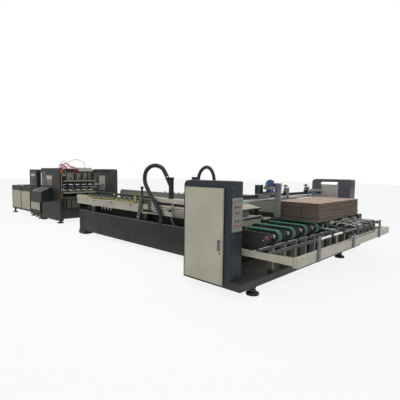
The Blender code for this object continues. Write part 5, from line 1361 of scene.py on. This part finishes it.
# %% Valve brackets
CUFF = [(0.006, 0), (0.009, 0.003), (0.009, 0.012), (0.006, 0.014)]
brackets = Piece("valve_brackets", "cream_paint")
tubes = Piece("valve_tubes", "white_plastic")
bases = Piece("valve_bases", "black_plastic")
for x in (0.74, 0.87, 1.00, 1.13):
    brackets.block((x - 0.008, x + 0.008), (-1.2145, -1.2105), (0.715, 0.805), 0.0012)
    brackets.block((x - 0.014, x + 0.014), (-1.232, -1.2125), (0.712, 0.722), 0.002)
    bent = [
        (x, -1.232, 0.780), (x, -1.234, 0.752), (x + 0.004, -1.232, 0.730),
        (x + 0.010, -1.228, 0.712),
    ]
    tubes.tube(bend(bent), 0.0060, 12)
    tubes.turned(CUFF, (x, -1.232, 0.772), (0, 0, 1), 16)
    brackets.block((x - 0.006, x + 0.006), (-1.234, -1.2125), (0.776, 0.784), 0.0012)
    bases.block((x - 0.016, x + 0.022), (-1.244, -1.2125), (0.690, 0.712), 0.003)
brackets.done("cream_paint")
tubes.done("cream_paint")
bases.done("black_rubber")

# %% Rod, air hoses and valves behind the lever
white_rod = Piece("slanted_rod", "white_plastic")
white_rod.tube([(3.125, -1.2355, 0.838), (3.365, -1.2355, 1.040)], 0.0075, 12)
white_rod.block((3.345, 3.385), (-1.240, -1.2105), (1.028, 1.050), 0.003)
white_rod.block((3.105, 3.150), (-1.240, -1.2105), (0.826, 0.850), 0.003)
white_rod.done("cream_paint")
LOOP_TOP = (
    (3.215, -1.2155, 0.925), (3.222, -1.255, 0.945), (3.250, -1.278, 0.940), (3.280, -1.282, 0.890),
    (3.275, -1.284, 0.825), (3.255, -1.284, 0.765), (3.262, -1.278, 0.700),
)
LOOP_FOOT = ((3.275, -1.262, 0.650), (3.280, -1.250, 0.602))
loops = Piece("air_hoses", "worn_cream")
for shift, drop in ((0.045, 0.0), (0.085, -0.02)):
    route = [(x + shift, y, z + drop) for x, y, z in LOOP_TOP]
    route += [(x + shift, y, z) for x, y, z in LOOP_FOOT]
    loops.tube(bend(route), 0.0048, 12)
loops.done("cream_paint")
NIPPLE = [(0.010, 0), (0.013, 0.002), (0.013, 0.012), (0.009, 0.015)]
valves = Piece("air_valves", "dark_steel")
for x in (3.200, 3.255, 3.310):
    valves.block((x - 0.018, x + 0.024), (-1.246, -1.2105), (0.880, 0.900), 0.003)
    valves.turned(NIPPLE, (x + 0.13, -1.250, 0.6005), (0, 0, 1), 6)
valves.block((3.28, 3.40), (-1.275, -1.225), (0.6003, 0.609), 0.002)
valves.done("black_paint")

# %% [markdown]
# Behind the valves a dark sheet closes the slot between the side beam and the belt beam: painted
# shade for the shaded inside of the machine. The step's outer side carries black strips that are
# painted shade for its guide slot and recesses, a half-round cable duct and dark sheet panels.

# %% Painted shade sheet, slot shade and duct on the beam
# Painted shade: a dark sheet where the inside of the machine lies in shade.
shade_sheet = Piece("beam_shade_sheet", "dark_belt")
shade_sheet.block((-0.25, 4.54), (-1.0720, -1.0690), (0.495, 0.800), 0.001)
for x in spread(-0.10, 4.40, 10):
    shade_sheet.block((x - 0.02, x + 0.02), (-1.0995, -1.0690), (0.5030, 0.5060), 0.001)
    shade_sheet.block((x - 0.02, x + 0.02), (-1.0995, -1.0965), (0.5030, 0.560), 0.001)
shade_sheet.done("black_rubber")
# Flat black strips on the beam's face: painted shade for the guide slot and recesses.
slot_shade = Piece("beam_slot_shade", "dark_belt")
slot_shade.block((2.83, 4.53), (-1.2135, -1.2095), (0.962, 1.006), 0.001)
slot_shade.block((2.66, 4.53), (-1.2125, -1.2095), (0.905, 0.918), 0.001)
slot_shade.block((3.08, 3.26), (-1.2130, -1.2095), (0.845, 0.900), 0.001)
slot_shade.block((2.34, 2.93), (-1.2130, -1.2095), (0.778, 0.832), 0.001)
slot_shade.done("black_rubber")
guard = Piece("beam_guard_sheets", "dull_sheet")
guard.block((2.30, 2.595), (-1.2135, -1.2100), (0.9405, 1.016), 0.001)
guard.block((2.50, 2.62), (-1.2160, -1.2110), (0.838, 1.030), 0.001)
guard.done("grey_steel")
DUCT_LOW, DUCT_HIGH = 0.762, 0.884
duct_center, duct_bulge = (DUCT_LOW + DUCT_HIGH) / 2, 0.050
arch = [(BEAM_FACE - 0.0004, DUCT_HIGH), (BEAM_FACE - 0.0004, DUCT_LOW)]
for k in range(13):
    angle = math.pi * k / 12
    arch.append((BEAM_FACE - 0.0010 - math.sin(angle) * duct_bulge,
                 duct_center - math.cos(angle) * (DUCT_HIGH - DUCT_LOW) / 2))
cable_duct = Piece("beam_cable_duct", "worn_cream")
cable_duct.plate(arch, "X", 3.30, 4.53, 0.002)
cable_duct.done("cream_paint")
ledges = Piece("beam_ledges", "cream_paint")
ledges.block((2.62, 4.52), (-1.228, -1.2095), (0.885, 0.905), 0.003)
ledges.block((2.62, 4.52), (-1.222, -1.2095), (0.757, 0.777), 0.003)
ledges.block((2.62, 4.52), (-1.222, -1.2095), (1.030, 1.040), 0.002)
ledges.done("cream_paint")
motor_box = Piece("beam_gear_cover", "grey_steel")
motor_box.block((2.72, 2.90), (-1.262, -1.2095), (0.800, 0.930), 0.010)
boss = [(0.030, 0), (0.036, 0.003), (0.036, 0.012), (0.028, 0.016)]
motor_box.turned(boss, (2.81, -1.262, 0.865), (0, -1, 0), 24)
motor_box.bolts([(x, -1.262, z) for x in (2.735, 2.885) for z in (0.815, 0.915)], (0, -1, 0), 0.006)
motor_box.done("grey_steel")

# %% [markdown]
# ## The middle belt and the far side
# The slim beam down the middle carries a green belt round its whole length. The far beam has the
# same press rollers as the near one, which the camera sees only as a row of small tops.

# %% Middle belt and far rollers
MIDDLE_LOW, MIDDLE_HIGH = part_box("middle_belt_beam")
middle_y = -0.26
rear_x, front_x = MIDDLE_LOW[0], MIDDLE_HIGH[0]
middle_belt = Piece("middle_belt", "green_belt")
z_low, z_high = MIDDLE_HIGH[2] - 0.049, MIDDLE_HIGH[2] + 0.0055
half, middle_z = (z_high - z_low) / 2, (z_low + z_high) / 2
outer, inner = [], []
for center_x, start_angle in ((front_x - 0.02, -90), (rear_x + 0.02, 90)):
    for k in range(13):
        angle = math.radians(start_angle + 15 * k)
        for path, radius in ((outer, half), (inner, half - 0.004)):
            path.append((center_x + math.cos(angle) * radius, middle_z + math.sin(angle) * radius))
low_y, high_y = middle_y - 0.030, middle_y + 0.030
middle_belt.skin([
    [(x, low_y, z) for x, z in outer], [(x, high_y, z) for x, z in outer],
    [(x, high_y, z) for x, z in inner], [(x, low_y, z) for x, z in inner],
], loop=True)
middle_belt.done("green_belt")
far_rollers = Piece("far_press_rollers", "white_plastic")
far_arms = Piece("far_press_roller_arms", "brass")
for x in ROLLER_PLACES:
    far_rollers.turned(drum(0.006, 0.016, 0.019, 0.014, 0.011), (x, 1.195, 1.0155), (0, 1, 0), 20)
    far_arms.turned([(0.0055, -0.060), (0.0055, 0.024)], (x, 1.195, 1.0155), (0, 1, 0), 12)
    far_arms.plate([(x - 0.012, 0.9405), (x + 0.050, 0.9405), (x + 0.012, 1.030), (x - 0.012, 1.030)],
                   "Y", 1.2145, 1.2195, 0.001)
far_rollers.done("cream_paint")
far_arms.done("brass")

# %% [markdown]
# ## The side beams and the lever
# The deep beams are welded box sections with a folded top edge, joined by splice plates with
# rows of bolts, and closed at the rear by an end plate. The lever's blade is bolted to its foot
# and ends in a black grip with three beads.

# %% Beam edges, splice plates and end plates
edges = Piece("side_beam_edges", "panel_alloy")
splices = Piece("side_beam_plates", "black_paint")
splice_bolts = Piece("side_beam_bolts", "dark_steel")
for side in (-1, 1):
    outer = side * 1.30
    proud = outer + side * 0.004
    edges.block((-0.255, 4.545), laid_on(outer, side, 0.018, 0.0015), (0.5990, 0.6025), 0.001)
    splices.block((4.36, 4.50), laid_on(outer, side), (0.14, 0.56), 0.0015)
    splices.block((-0.255, -0.12), laid_on(outer, side), (0.095, 0.585), 0.0015)
    for x in (4.395, 4.465):
        splice_bolts.bolts([(x, proud, z) for z in spread(0.18, 0.52, 5)], (0, side, 0), 0.009)
    splice_bolts.bolts([(-0.19, proud, z) for z in spread(0.14, 0.54, 4)], (0, side, 0), 0.009)
    for x in (-0.215, 0.0, 4.29, 4.50):
        splice_bolts.bolts([(x, side * 1.3085, 0.0905)], (0, 0, 1), 0.0075)
splices.block((-0.2645, -0.2595), (-1.29, -1.11), (0.11, 0.58), 0.0015)
splices.block((-0.2645, -0.2595), (1.11, 1.29), (0.11, 0.58), 0.0015)
for side in (-1, 1):
    rows = [(-0.2645, side * y, z) for y in (1.14, 1.26) for z in (0.16, 0.34, 0.52)]
    splice_bolts.bolts(rows, (-1, 0, 0), 0.009)
edges.done("panel_alloy")
splices.done("black_paint")
splice_bolts.done("black_paint")

# %% Lever grip and foot
GRIP_X, GRIP_Y = 2.3597, -1.25
GRIP_BEAD = [(0.018, -0.022), (0.026, -0.014), (0.027, 0.010), (0.019, 0.022)]
GRIP_END = [(0.020, 0.0), (0.0345, 0.006), (0.0355, 0.020), (0.030, 0.034), (0.014, 0.042)]
LEVER_BOLTS = ((2.205, 0.66), (2.245, 0.66), (2.235, 0.78), (2.30, 1.06))
grip = Piece("lever_grip", "black_plastic")
for z in (1.150, 1.200, 1.250):
    grip.turned(GRIP_BEAD, (GRIP_X, GRIP_Y, z), (0, 0, 1), 24)
grip.turned(GRIP_END, (GRIP_X, GRIP_Y, 1.262), (0, 0, 1), 28)
grip.done("black_rubber")
lever_bolts = Piece("lever_bolts", "zinc")
lever_bolts.bolts([(x, -1.2595, z) for x, z in LEVER_BOLTS], (0, -1, 0), 0.008)
lever_bolts.done("chrome")

# %% [markdown]
# ## The press section
# Between the press walls hang plates with fittings over two rows of wheels. The wheels have
# hubs and set screws, and between the rows stand small orange and white rollers. The manifold on
# top is a row of cream valve boxes, from which thin red and white air lines loop and hang.

# %% Manifold boxes and fittings
valve_boxes = Piece("manifold_boxes", "cream_paint")
for low_y, high_y in ((-0.345, -0.19), (-0.18, -0.02), (-0.01, 0.138)):
    valve_boxes.block((-2.34, -2.24), (low_y, high_y), (1.6605, 1.700), 0.004)
    valve_boxes.block((-2.325, -2.255), (low_y + 0.02, high_y - 0.02), (1.699, 1.712), 0.003)
valve_boxes.block((-2.1895, -2.165), (-0.345, 0.138), (1.594, 1.668), 0.004)
valve_boxes.done("cream_paint")
TALL_FITTING = [(0.012, 0), (0.016, 0.003), (0.016, 0.018), (0.010, 0.024), (0.010, 0.036)]
FLAT_FITTING = [(0.009, 0), (0.012, 0.002), (0.012, 0.014), (0.007, 0.018)]
valve_caps = Piece("manifold_fittings", "white_plastic")
for y in spread(-0.86, -0.40, 7):
    valve_caps.turned(TALL_FITTING, (-2.24, y, 1.6603), (0, 0, 1), 16)
for y in spread(-0.33, 0.12, 5):
    valve_caps.turned(FLAT_FITTING, (-2.165, y, 1.63), (1, 0, 0), 14)
valve_caps.done("cream_paint")

# %% [markdown]
# The air lines leave the fittings and turn back. Each one is a smooth curve through a few points,
# so that the loops cross as the real ones do, and it ends in a fitting, in the small white
# junction or in the face below.

# %% Routes of the air lines
TOP = 1.690
RED_ROUTES = (
    ((-2.24, -0.860, TOP), (-2.20, -0.960, 1.700), (-2.15, -0.985, 1.760), (-2.12, -0.930, 1.800),
     (-2.12, -0.850, 1.785), (-2.13, -0.790, 1.720), (-2.16, -0.740, 1.690), (-2.24, -0.707, TOP)),
    ((-2.24, -0.783, TOP), (-2.19, -0.880, 1.745), (-2.15, -0.930, 1.790), (-2.12, -0.860, 1.765),
     (-2.12, -0.800, 1.700), (-2.16, -0.730, 1.665), (-2.188, -0.700, 1.640)),
    ((-2.24, -0.860, TOP), (-2.23, -0.900, 1.74), (-2.20, -0.860, 1.800), (-2.17, -0.780, 1.835),
     (-2.16, -0.700, 1.800), (-2.16, -0.640, 1.730), (-2.165, -0.560, 1.700),
     (-2.20, -0.47, TOP + 0.015), (-2.24, -0.477, TOP)),
    ((-2.24, -0.783, TOP), (-2.22, -0.800, 1.76), (-2.18, -0.760, 1.820), (-2.15, -0.690, 1.800),
     (-2.14, -0.620, 1.745), (-2.15, -0.540, 1.695), (-2.19, -0.420, 1.700), (-2.24, -0.400, TOP)),
    ((-2.24, -0.707, TOP), (-2.20, -0.740, 1.73), (-2.16, -0.830, 1.770), (-2.15, -0.880, 1.720),
     (-2.145, -0.880, 1.62), (-2.145, -0.860, 1.52), (-2.150, -0.835, 1.47)),
    ((-2.24, -0.630, TOP), (-2.21, -0.600, 1.74), (-2.17, -0.540, 1.745), (-2.145, -0.500, 1.690),
     (-2.140, -0.490, 1.60), (-2.145, -0.520, 1.53), (-2.165, -0.590, 1.520), (-2.189, -0.600, 1.52)),
    ((-2.24, -0.553, TOP), (-2.20, -0.520, 1.725), (-2.15, -0.440, 1.700), (-2.135, -0.400, 1.630),
     (-2.140, -0.380, 1.57), (-2.165, -0.360, 1.545), (-2.189, -0.355, 1.545)),
)
WHITE_ROUTES = (
    ((-2.24, -0.783, TOP), (-2.26, -0.860, 1.78), (-2.24, -0.890, 1.850), (-2.21, -0.800, 1.905),
     (-2.19, -0.700, 1.880), (-2.19, -0.640, 1.800), (-2.21, -0.625, 1.73), (-2.24, -0.630, TOP)),
    ((-2.24, -0.860, TOP), (-2.19, -0.880, 1.72), (-2.15, -0.850, 1.66), (-2.145, -0.800, 1.58),
     (-2.150, -0.790, 1.500), (-2.170, -0.780, 1.46), (-2.189, -0.775, 1.455)),
)
print("red routes", len(RED_ROUTES), "white routes", len(WHITE_ROUTES))

# %% Red and white air lines
for name, finish, radius, routes in (
        ("red_air_lines", "red_tube", 0.0085, RED_ROUTES),
        ("white_air_lines", "white_plastic", 0.005, WHITE_ROUTES)):
    air_lines = Piece(name, finish)
    for route in routes:
        air_lines.tube(bend(route, 0.012), radius, 10)
    air_lines.done("red_tube")
junction = Piece("air_junction", "white_plastic")
junction.block((-2.165, -2.135), (-0.850, -0.815), (1.445, 1.475), 0.004)
junction.block((-2.1905, -2.150), (-0.845, -0.820), (1.452, 1.468), 0.002)
junction.done("cream_paint")

# %% [markdown]
# Behind the wheels the press is closed by dark sheets, with a slot between them where the boards
# pass. Behind the slot run two layers of flat belts on rollers, which can be seen from the rear.

# %% Inner sheets and press belts
SHEET_X, SHEET_Y = (-2.704, -2.700), (-0.8985, 0.245)
BARREL = [(0.026, -0.8985), (0.0295, -0.895), (0.0295, 0.895), (0.026, 0.8985)]
back_sheet = Piece("press_back_sheet", "dull_sheet")
back_sheet.block(SHEET_X, SHEET_Y, (1.135, 1.555), 0.001)
back_sheet.done("black_paint")
inner_sheets = Piece("press_inner_sheets", "dark_belt")
inner_sheets.block(SHEET_X, SHEET_Y, (0.4205, 1.040), 0.001)
inner_sheets.block((-3.440, SHEET_X[0]), SHEET_Y, (1.556, 1.560), 0.001)
inner_sheets.done("black_paint")
inner_belts = Piece("press_inner_belts", "dark_belt")
inner_rollers = Piece("press_inner_rollers", "zinc")
for y in spread(-0.70, 0.70, 5):
    for low_z, high_z in ((1.103, 1.108), (1.072, 1.077)):
        inner_belts.block((-3.42, -2.76), (y - 0.05, y + 0.05), (low_z, high_z), 0.001)
for z in (1.138, 1.042):
    for x in spread(-3.38, -2.80, 3):
        inner_rollers.turned(BARREL, (x, 0, z), (0, 1, 0), 20)
inner_belts.done("black_rubber")
inner_rollers.done("chrome")

# %% [markdown]
# ## Hangers and wheels
# Each hanger carries a bolted cover plate with two dark blocks, and each wheel has a steel hub
# with a set screw that turns with its shaft. A grey or blue bead runs round both edges of a tyre.

# %% Hanger details
HANGERS = ((-0.76, -0.51), (-0.44, -0.28), (-0.21, -0.07), (-0.02, 0.07))
HANGER_FACE, PLATE_FACE = -2.1905, -2.1865
hanger_bolts = Piece("hanger_bolts", "zinc")
hanger_blocks = Piece("hanger_blocks", "black_plastic")
hanger_plates = Piece("hanger_cover_plates", "worn_cream")
for low_y, high_y in HANGERS:
    sides, middle = (low_y + 0.012, high_y - 0.012), (low_y + high_y) / 2
    corners = [(PLATE_FACE, y, z) for y in (low_y + 0.025, high_y - 0.025) for z in (1.35, 1.51)]
    hanger_plates.block((HANGER_FACE, PLATE_FACE), sides, (1.335, 1.525), 0.0015)
    hanger_bolts.bolts(corners, (1, 0, 0), 0.006)
    hanger_blocks.block((PLATE_FACE, -2.165), (middle + 0.01, middle + 0.05), (1.345, 1.40), 0.004)
    hanger_blocks.block((PLATE_FACE, -2.170), (low_y + 0.014, low_y + 0.030), (1.335, 1.525), 0.003)
hanger_bolts.bolts([(-2.1895, y, 1.293) for y in spread(-0.85, 0.17, 9)], (1, 0, 0), 0.006)
hanger_bolts.done("chrome")
hanger_blocks.done("black_rubber")
hanger_plates.done("grey_steel")
cross_bars = Piece("press_cross_bars", "panel_alloy")
for x, z, height in ((-2.150, 1.292, 0.016), (-2.108, 0.932, 0.024), (-2.104, 0.765, 0.006)):
    cross_bars.block((x - 0.010, x + 0.010), (-0.8985, 0.2195), (z - height, z + height), 0.003)
cross_bars.done("grey_steel")

# %% Wheel hubs
ROW_LOW, ROW_HIGH, WHEELS = -0.8994, 0.2194, 4
WHEEL_STEP = (ROW_HIGH - ROW_LOW) / (WHEELS + 1)
WHEEL_PLACES = [ROW_LOW + WHEEL_STEP * k for k in range(1, WHEELS + 1)]
HUB = [(0.036, 0), (0.036, 0.008), (0.030, 0.012), (0.030, 0.022), (0.0225, 0.024)]
BEAD = [(0.052, -0.001), (0.061, -0.001), (0.061, 0.002), (0.058, 0.004), (0.052, 0.004)]
SET_SCREW = [(0.004, 0), (0.004, 0.003), (0.0025, 0.004)]
for body, bead_finish in (
        ("upper_wheel_shaft", "panel_alloy"), ("lower_wheel_shaft", "blue_plastic"),
        ("rear_wheel_shaft", "blue_plastic")):
    low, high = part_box(body)
    x, z = (low[0] + high[0]) / 2, (low[2] + high[2]) / 2
    wheel_hubs = Piece(body + "_hubs", "zinc", body)
    tyres = Piece(body + "_tyre_beads", bead_finish, body)
    for y in WHEEL_PLACES:
        for side in (-1, 1):
            wheel_hubs.turned(HUB, (x, y + side * 0.0248, z), (0, side, 0), 20)
            tyres.turned(BEAD, (x, y + side * 0.0250, z), (0, side, 0), 28)
            wheel_hubs.turned(SET_SCREW, (x, y + side * 0.041, z + 0.0295), (0, 0, 1), 6)
    wheel_hubs.done("chrome")
    tyres.done("blue_paint")

# %% [markdown]
# Between the hubs stand the small glue rollers, orange with white ends, on arms from the bar
# under the wheels. Lids and front plates close the glue boxes on the base.

# %% Glue rollers and boxes
GLUE_X, GLUE_Z = -2.140, 0.995
ROLLER_END = [(0.010, -0.002), (0.020, 0), (0.020, 0.010), (0.014, 0.014)]
glue_drums = Piece("glue_rollers", "gold_duct")
glue_ends = Piece("glue_roller_ends", "white_plastic")
glue_arms = Piece("glue_roller_arms", "brass")
for y in (-0.80, -0.57, -0.34, -0.11, 0.10):
    glue_drums.turned(drum(0.008, 0.024, 0.026, 0.030, 0.027), (GLUE_X, y, GLUE_Z), (0, 1, 0), 24)
    glue_ends.turned(ROLLER_END, (GLUE_X, y - 0.030, GLUE_Z), (0, -1, 0), 20)
    glue_arms.block((-2.148, -2.132), (y + 0.046, y + 0.054), (0.94, 1.01), 0.002)
    glue_arms.block((-2.148, -2.132), (y - 0.054, y - 0.046), (0.94, 1.01), 0.002)
    glue_arms.block((-2.156, -2.106), (y - 0.060, y + 0.060), (0.935, 0.945), 0.002)
glue_drums.done("brass")
glue_ends.done("cream_paint")
glue_arms.done("brass")
glue_boxes = Piece("glue_box_lids", "dull_sheet")
for low_y, high_y in ((-0.78, -0.66), (-0.64, -0.36), (0.36, 0.62)):
    glue_boxes.block((-2.225, -2.095), (low_y + 0.005, high_y - 0.005), (0.7355, 0.748), 0.003)
    glue_boxes.block((-2.0905, -2.0865), (low_y + 0.010, high_y - 0.010), (0.46, 0.70), 0.002)
glue_boxes.done("cream_paint")

# %% [markdown]
# ## The press walls
# The near wall carries an orange trunking strip with blue and white fittings on its front edge,
# smoked windows with a cream cover and slats, and bolted edge trim. The far wall has a tall cream
# cover. The sloped box has a worn lid with three hinge pins and a catch.

# %% Trunking and fittings
WALL_FRONT = -2.0695
BLUE_FITTING = [(0.014, 0), (0.021, 0.003), (0.021, 0.022), (0.012, 0.028)]
GAUGE = [(0.008, 0), (0.016, 0.003), (0.016, 0.014), (0.008, 0.019)]
TERMINAL_LEAD = (
    (-2.060, -0.930, 1.64), (-2.065, -0.930, 1.69), (-2.12, -0.900, 1.71), (-2.18, -0.865, 1.70),
    (-2.235, -0.850, 1.675),
)
trunk = Piece("trunking_strip", "gold_duct")
trunk.block((WALL_FRONT, -2.0590), (-0.964, -0.940), (0.755, 1.540), 0.003)
for z in spread(0.80, 1.50, 8):
    trunk.block((WALL_FRONT, -2.0570), (-0.968, -0.936), (z - 0.006, z + 0.006), 0.002)
trunk.done("brass")
terminal = Piece("terminal_block", "rust_duct")
terminal.block((WALL_FRONT, -2.0450), (-0.985, -0.905), (1.545, 1.640), 0.005)
terminal.tube(bend(TERMINAL_LEAD), 0.012, 12)
terminal.done("brass")
blue_bits = Piece("trunking_fittings", "blue_plastic")
pale_bits = Piece("trunking_gauges", "white_plastic")
for z in (1.455, 1.180, 1.000):
    blue_bits.turned(BLUE_FITTING, (WALL_FRONT, -0.912, z), (1, 0, 0), 20)
for z in (1.502, 1.045):
    pale_bits.turned(GAUGE, (WALL_FRONT, -0.915, z), (1, 0, 0), 20)
blue_bits.done("blue_paint")
pale_bits.done("cream_paint")

# %% Covers and window on the press walls
pale = Piece("press_wall_covers", "cream_paint")
pale.block((-3.490, -3.390), (-1.0045, -0.9995), (1.13, 1.55), 0.002)
pale.block((-3.035, -2.640), (-1.0045, -0.9995), (1.330, 1.450), 0.002)
pale.block((-3.10, -2.70), (0.8955, 0.9005), (0.94, 1.45), 0.002)
pale.done("cream_paint")
slats = Piece("press_wall_slats", "panel_alloy")
for z in (1.165, 1.215, 1.262, 1.300):
    slats.block((-2.98, -2.64), (-1.010, -0.9995), (z - 0.010, z + 0.010), 0.003)
slats.done("panel_alloy")
window = Piece("press_wall_window", "smoked_sheet")
window.block((-3.050, -2.625), (-1.0025, -0.9995), (1.140, 1.465), 0.001)
window.block((-3.33, -3.08), (-1.0030, -0.9995), (1.14, 1.58), 0.001)
window.done("black_paint")
FOOT_NUT = [(0.044, 0.040), (0.047, 0.043), (0.047, 0.056), (0.044, 0.059)]
wall_trim = Piece("press_wall_trim", "black_paint")
wall_bolts = Piece("press_wall_bolts", "dark_steel")
for side in (-1, 1):
    face = side * 1.0
    wall_trim.block((-2.30, -2.075), laid_on(face, side), (0.10, 1.56), 0.0015)
    wall_trim.block((-3.505, -2.32), laid_on(face, side), (0.08, 0.16), 0.0015)
    rows = [(x, face + side * 0.004, z) for x in (-2.28, -2.095) for z in spread(0.14, 1.52, 7)]
    wall_bolts.bolts(rows, (0, side, 0), 0.007)
    for x in (-2.19, -3.39):
        wall_bolts.turned(FOOT_NUT, (x, side * 0.95, 0), (0, 0, 1), 6)
wall_trim.done("black_paint")
wall_bolts.done("black_paint")

# %% Sloped box
HOOD_LOW, HOOD_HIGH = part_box("press_hood")
HOOD_OUTER_TOP = 0.94
HINGE_PIN = [(0.008, -0.030), (0.009, -0.028), (0.009, 0.028), (0.008, 0.030)]
lid = Piece("sloped_box_lid", "hood_lid")
slope = (HOOD_HIGH[2] - HOOD_OUTER_TOP) / (HOOD_HIGH[1] - HOOD_LOW[1])


def lid_height(y):
    return HOOD_HIGH[2] - (HOOD_HIGH[1] - y) * slope


low_y, high_y = HOOD_LOW[1] + 0.006, HOOD_HIGH[1] - 0.004
low_z, high_z = lid_height(low_y), lid_height(high_y)
lid_side = [
    (low_y, low_z - 0.001), (high_y, high_z - 0.001), (high_y, high_z + 0.005),
    (low_y, low_z + 0.005),
]
lid.plate(lid_side, "X", HOOD_LOW[0] + 0.008, HOOD_HIGH[0] - 0.008, 0.0015)
lid.done("black_paint")
lid_parts = Piece("sloped_box_hinges", "dark_steel")
for x in spread(HOOD_LOW[0] + 0.12, HOOD_HIGH[0] - 0.12, 3):
    lid_parts.turned(HINGE_PIN, (x, high_y - 0.008, high_z + 0.006), (1, 0, 0), 12)
hood_middle = (HOOD_LOW[0] + HOOD_HIGH[0]) / 2
lid_parts.block(
    (hood_middle - 0.05, hood_middle + 0.05), (HOOD_LOW[1] - 0.012, HOOD_LOW[1] + 0.001),
    (0.90, 0.915), 0.003)
lid_parts.done("black_paint")

# %% [markdown]
# ## The delivery table
# The table's sides are a dark frame filled with cream panels, with a rail along the top. Flat
# belts run over the bed between rollers. The short walls carry a small screen and a cover.

# %% Side panels
PANEL_SCREW = [(0.007, 0), (0.007, 0.002), (0.004, 0.0035)]
FRAME_BOSS = [(0.016, 0), (0.020, 0.003), (0.020, 0.009), (0.012, 0.012)]
frames = Piece("table_frames", "black_paint")
panels = Piece("table_panels", "table_cream")
panel_screws = Piece("table_panel_screws", "zinc")
for side in (-1, 1):
    face = side * 1.02
    inset, proud = laid_on(face, side), laid_on(face, side, 0.001, 0.014)
    for low_x, high_x in ((-6.17, -5.32), (-5.28, -4.45)):
        panels.block((low_x, high_x), inset, (0.22, 0.86), 0.003)
        for x in (low_x + 0.03, high_x - 0.03):
            for z in (0.26, 0.54, 0.82):
                panel_screws.turned(PANEL_SCREW, (x, face + side * 0.004, z), (0, side, 0), 12)
    panels.block((-4.36, -3.59), inset, (0.28, 0.53), 0.003)
    frames.block((-6.205, -3.52), proud, (0.985, 1.036), 0.004)
    frames.block((-6.205, -3.52), proud, (0.165, 0.205), 0.004)
    for x in (-6.205, -5.315, -4.425, -3.56):
        frames.block((x, x + 0.030), proud, (0.203, 0.987), 0.003)
    for x in spread(-5.95, -3.75, 5):
        frames.turned(FRAME_BOSS, (x, face + side * 0.004, 0.93), (0, side, 0), 20)
        panel_screws.bolts([(x, face + side * 0.016, 0.93)], (0, side, 0), 0.009)
frames.done("black_paint")
panels.done("cream_paint")
panel_screws.done("chrome")

# %% Belts and rollers on the bed
BED_BARREL = [(0.030, -0.75), (0.034, -0.745), (0.034, 0.745), (0.030, 0.75)]
bed_belts = Piece("delivery_belts", "dark_belt")
bed_rollers = Piece("delivery_rollers", "zinc")
for y in spread(-0.60, 0.60, 5):
    bed_belts.block((-6.17, -3.57), (y - 0.045, y + 0.045), (0.9995, 1.0045), 0.001)
for x in (-6.165, -3.575):
    bed_rollers.turned(BED_BARREL, (x, 0, 0.958), (0, 1, 0), 24)
bed_belts.done("black_rubber")
bed_rollers.done("chrome")
bars = Piece("delivery_top_bars", "dark_steel")
for x in (-5.70, -5.05):
    bars.tube([(x, -1.015, 1.052), (x, 1.015, 1.052)], 0.014, 16)
    for side in (-1, 1):
        bars.block((x - 0.022, x + 0.022), sorted((side * 0.925, side * 1.015)), (1.0395, 1.060), 0.003)
bars.done("black_paint")

# %% Short walls
wall_parts = Piece("delivery_wall_trim", "slate_paint")
screens = Piece("delivery_wall_screens", "white_plastic")
glass = Piece("delivery_wall_glass", "smoked_sheet")
for side in (-1, 1):
    face = side * 0.92
    on_glass = laid_on(face, side, -0.003, 0.008)
    glass.block((-4.62, -4.16), laid_on(face, side), (1.10, 1.56), 0.002)
    screens.block((-4.56, -4.22), on_glass, (1.42, 1.47), 0.002)
    wall_parts.block((-4.56, -4.22), on_glass, (1.14, 1.36), 0.003)
glass.done("black_paint")
screens.done("cream_paint")
wall_parts.done("slate_paint")
TABLE_NUT = [(0.044, 0.120), (0.047, 0.123), (0.047, 0.138), (0.044, 0.141)]
TABLE_CONE = [(0.060, 0.030), (0.052, 0.040), (0.036, 0.050)]
frame_feet = Piece("table_foot_nuts", "dark_steel")
for side in (-1, 1):
    for x in (-6.09, -3.63):
        frame_feet.turned(TABLE_NUT, (x, side * 0.97, 0), (0, 0, 1), 6)
        frame_feet.turned(TABLE_CONE, (x, side * 0.97, 0), (0, 0, 1), 24)
frame_feet.done("black_paint")
print("triangles added", sum(TRIANGLES.values()), "most in one piece", max(TRIANGLES.values()))
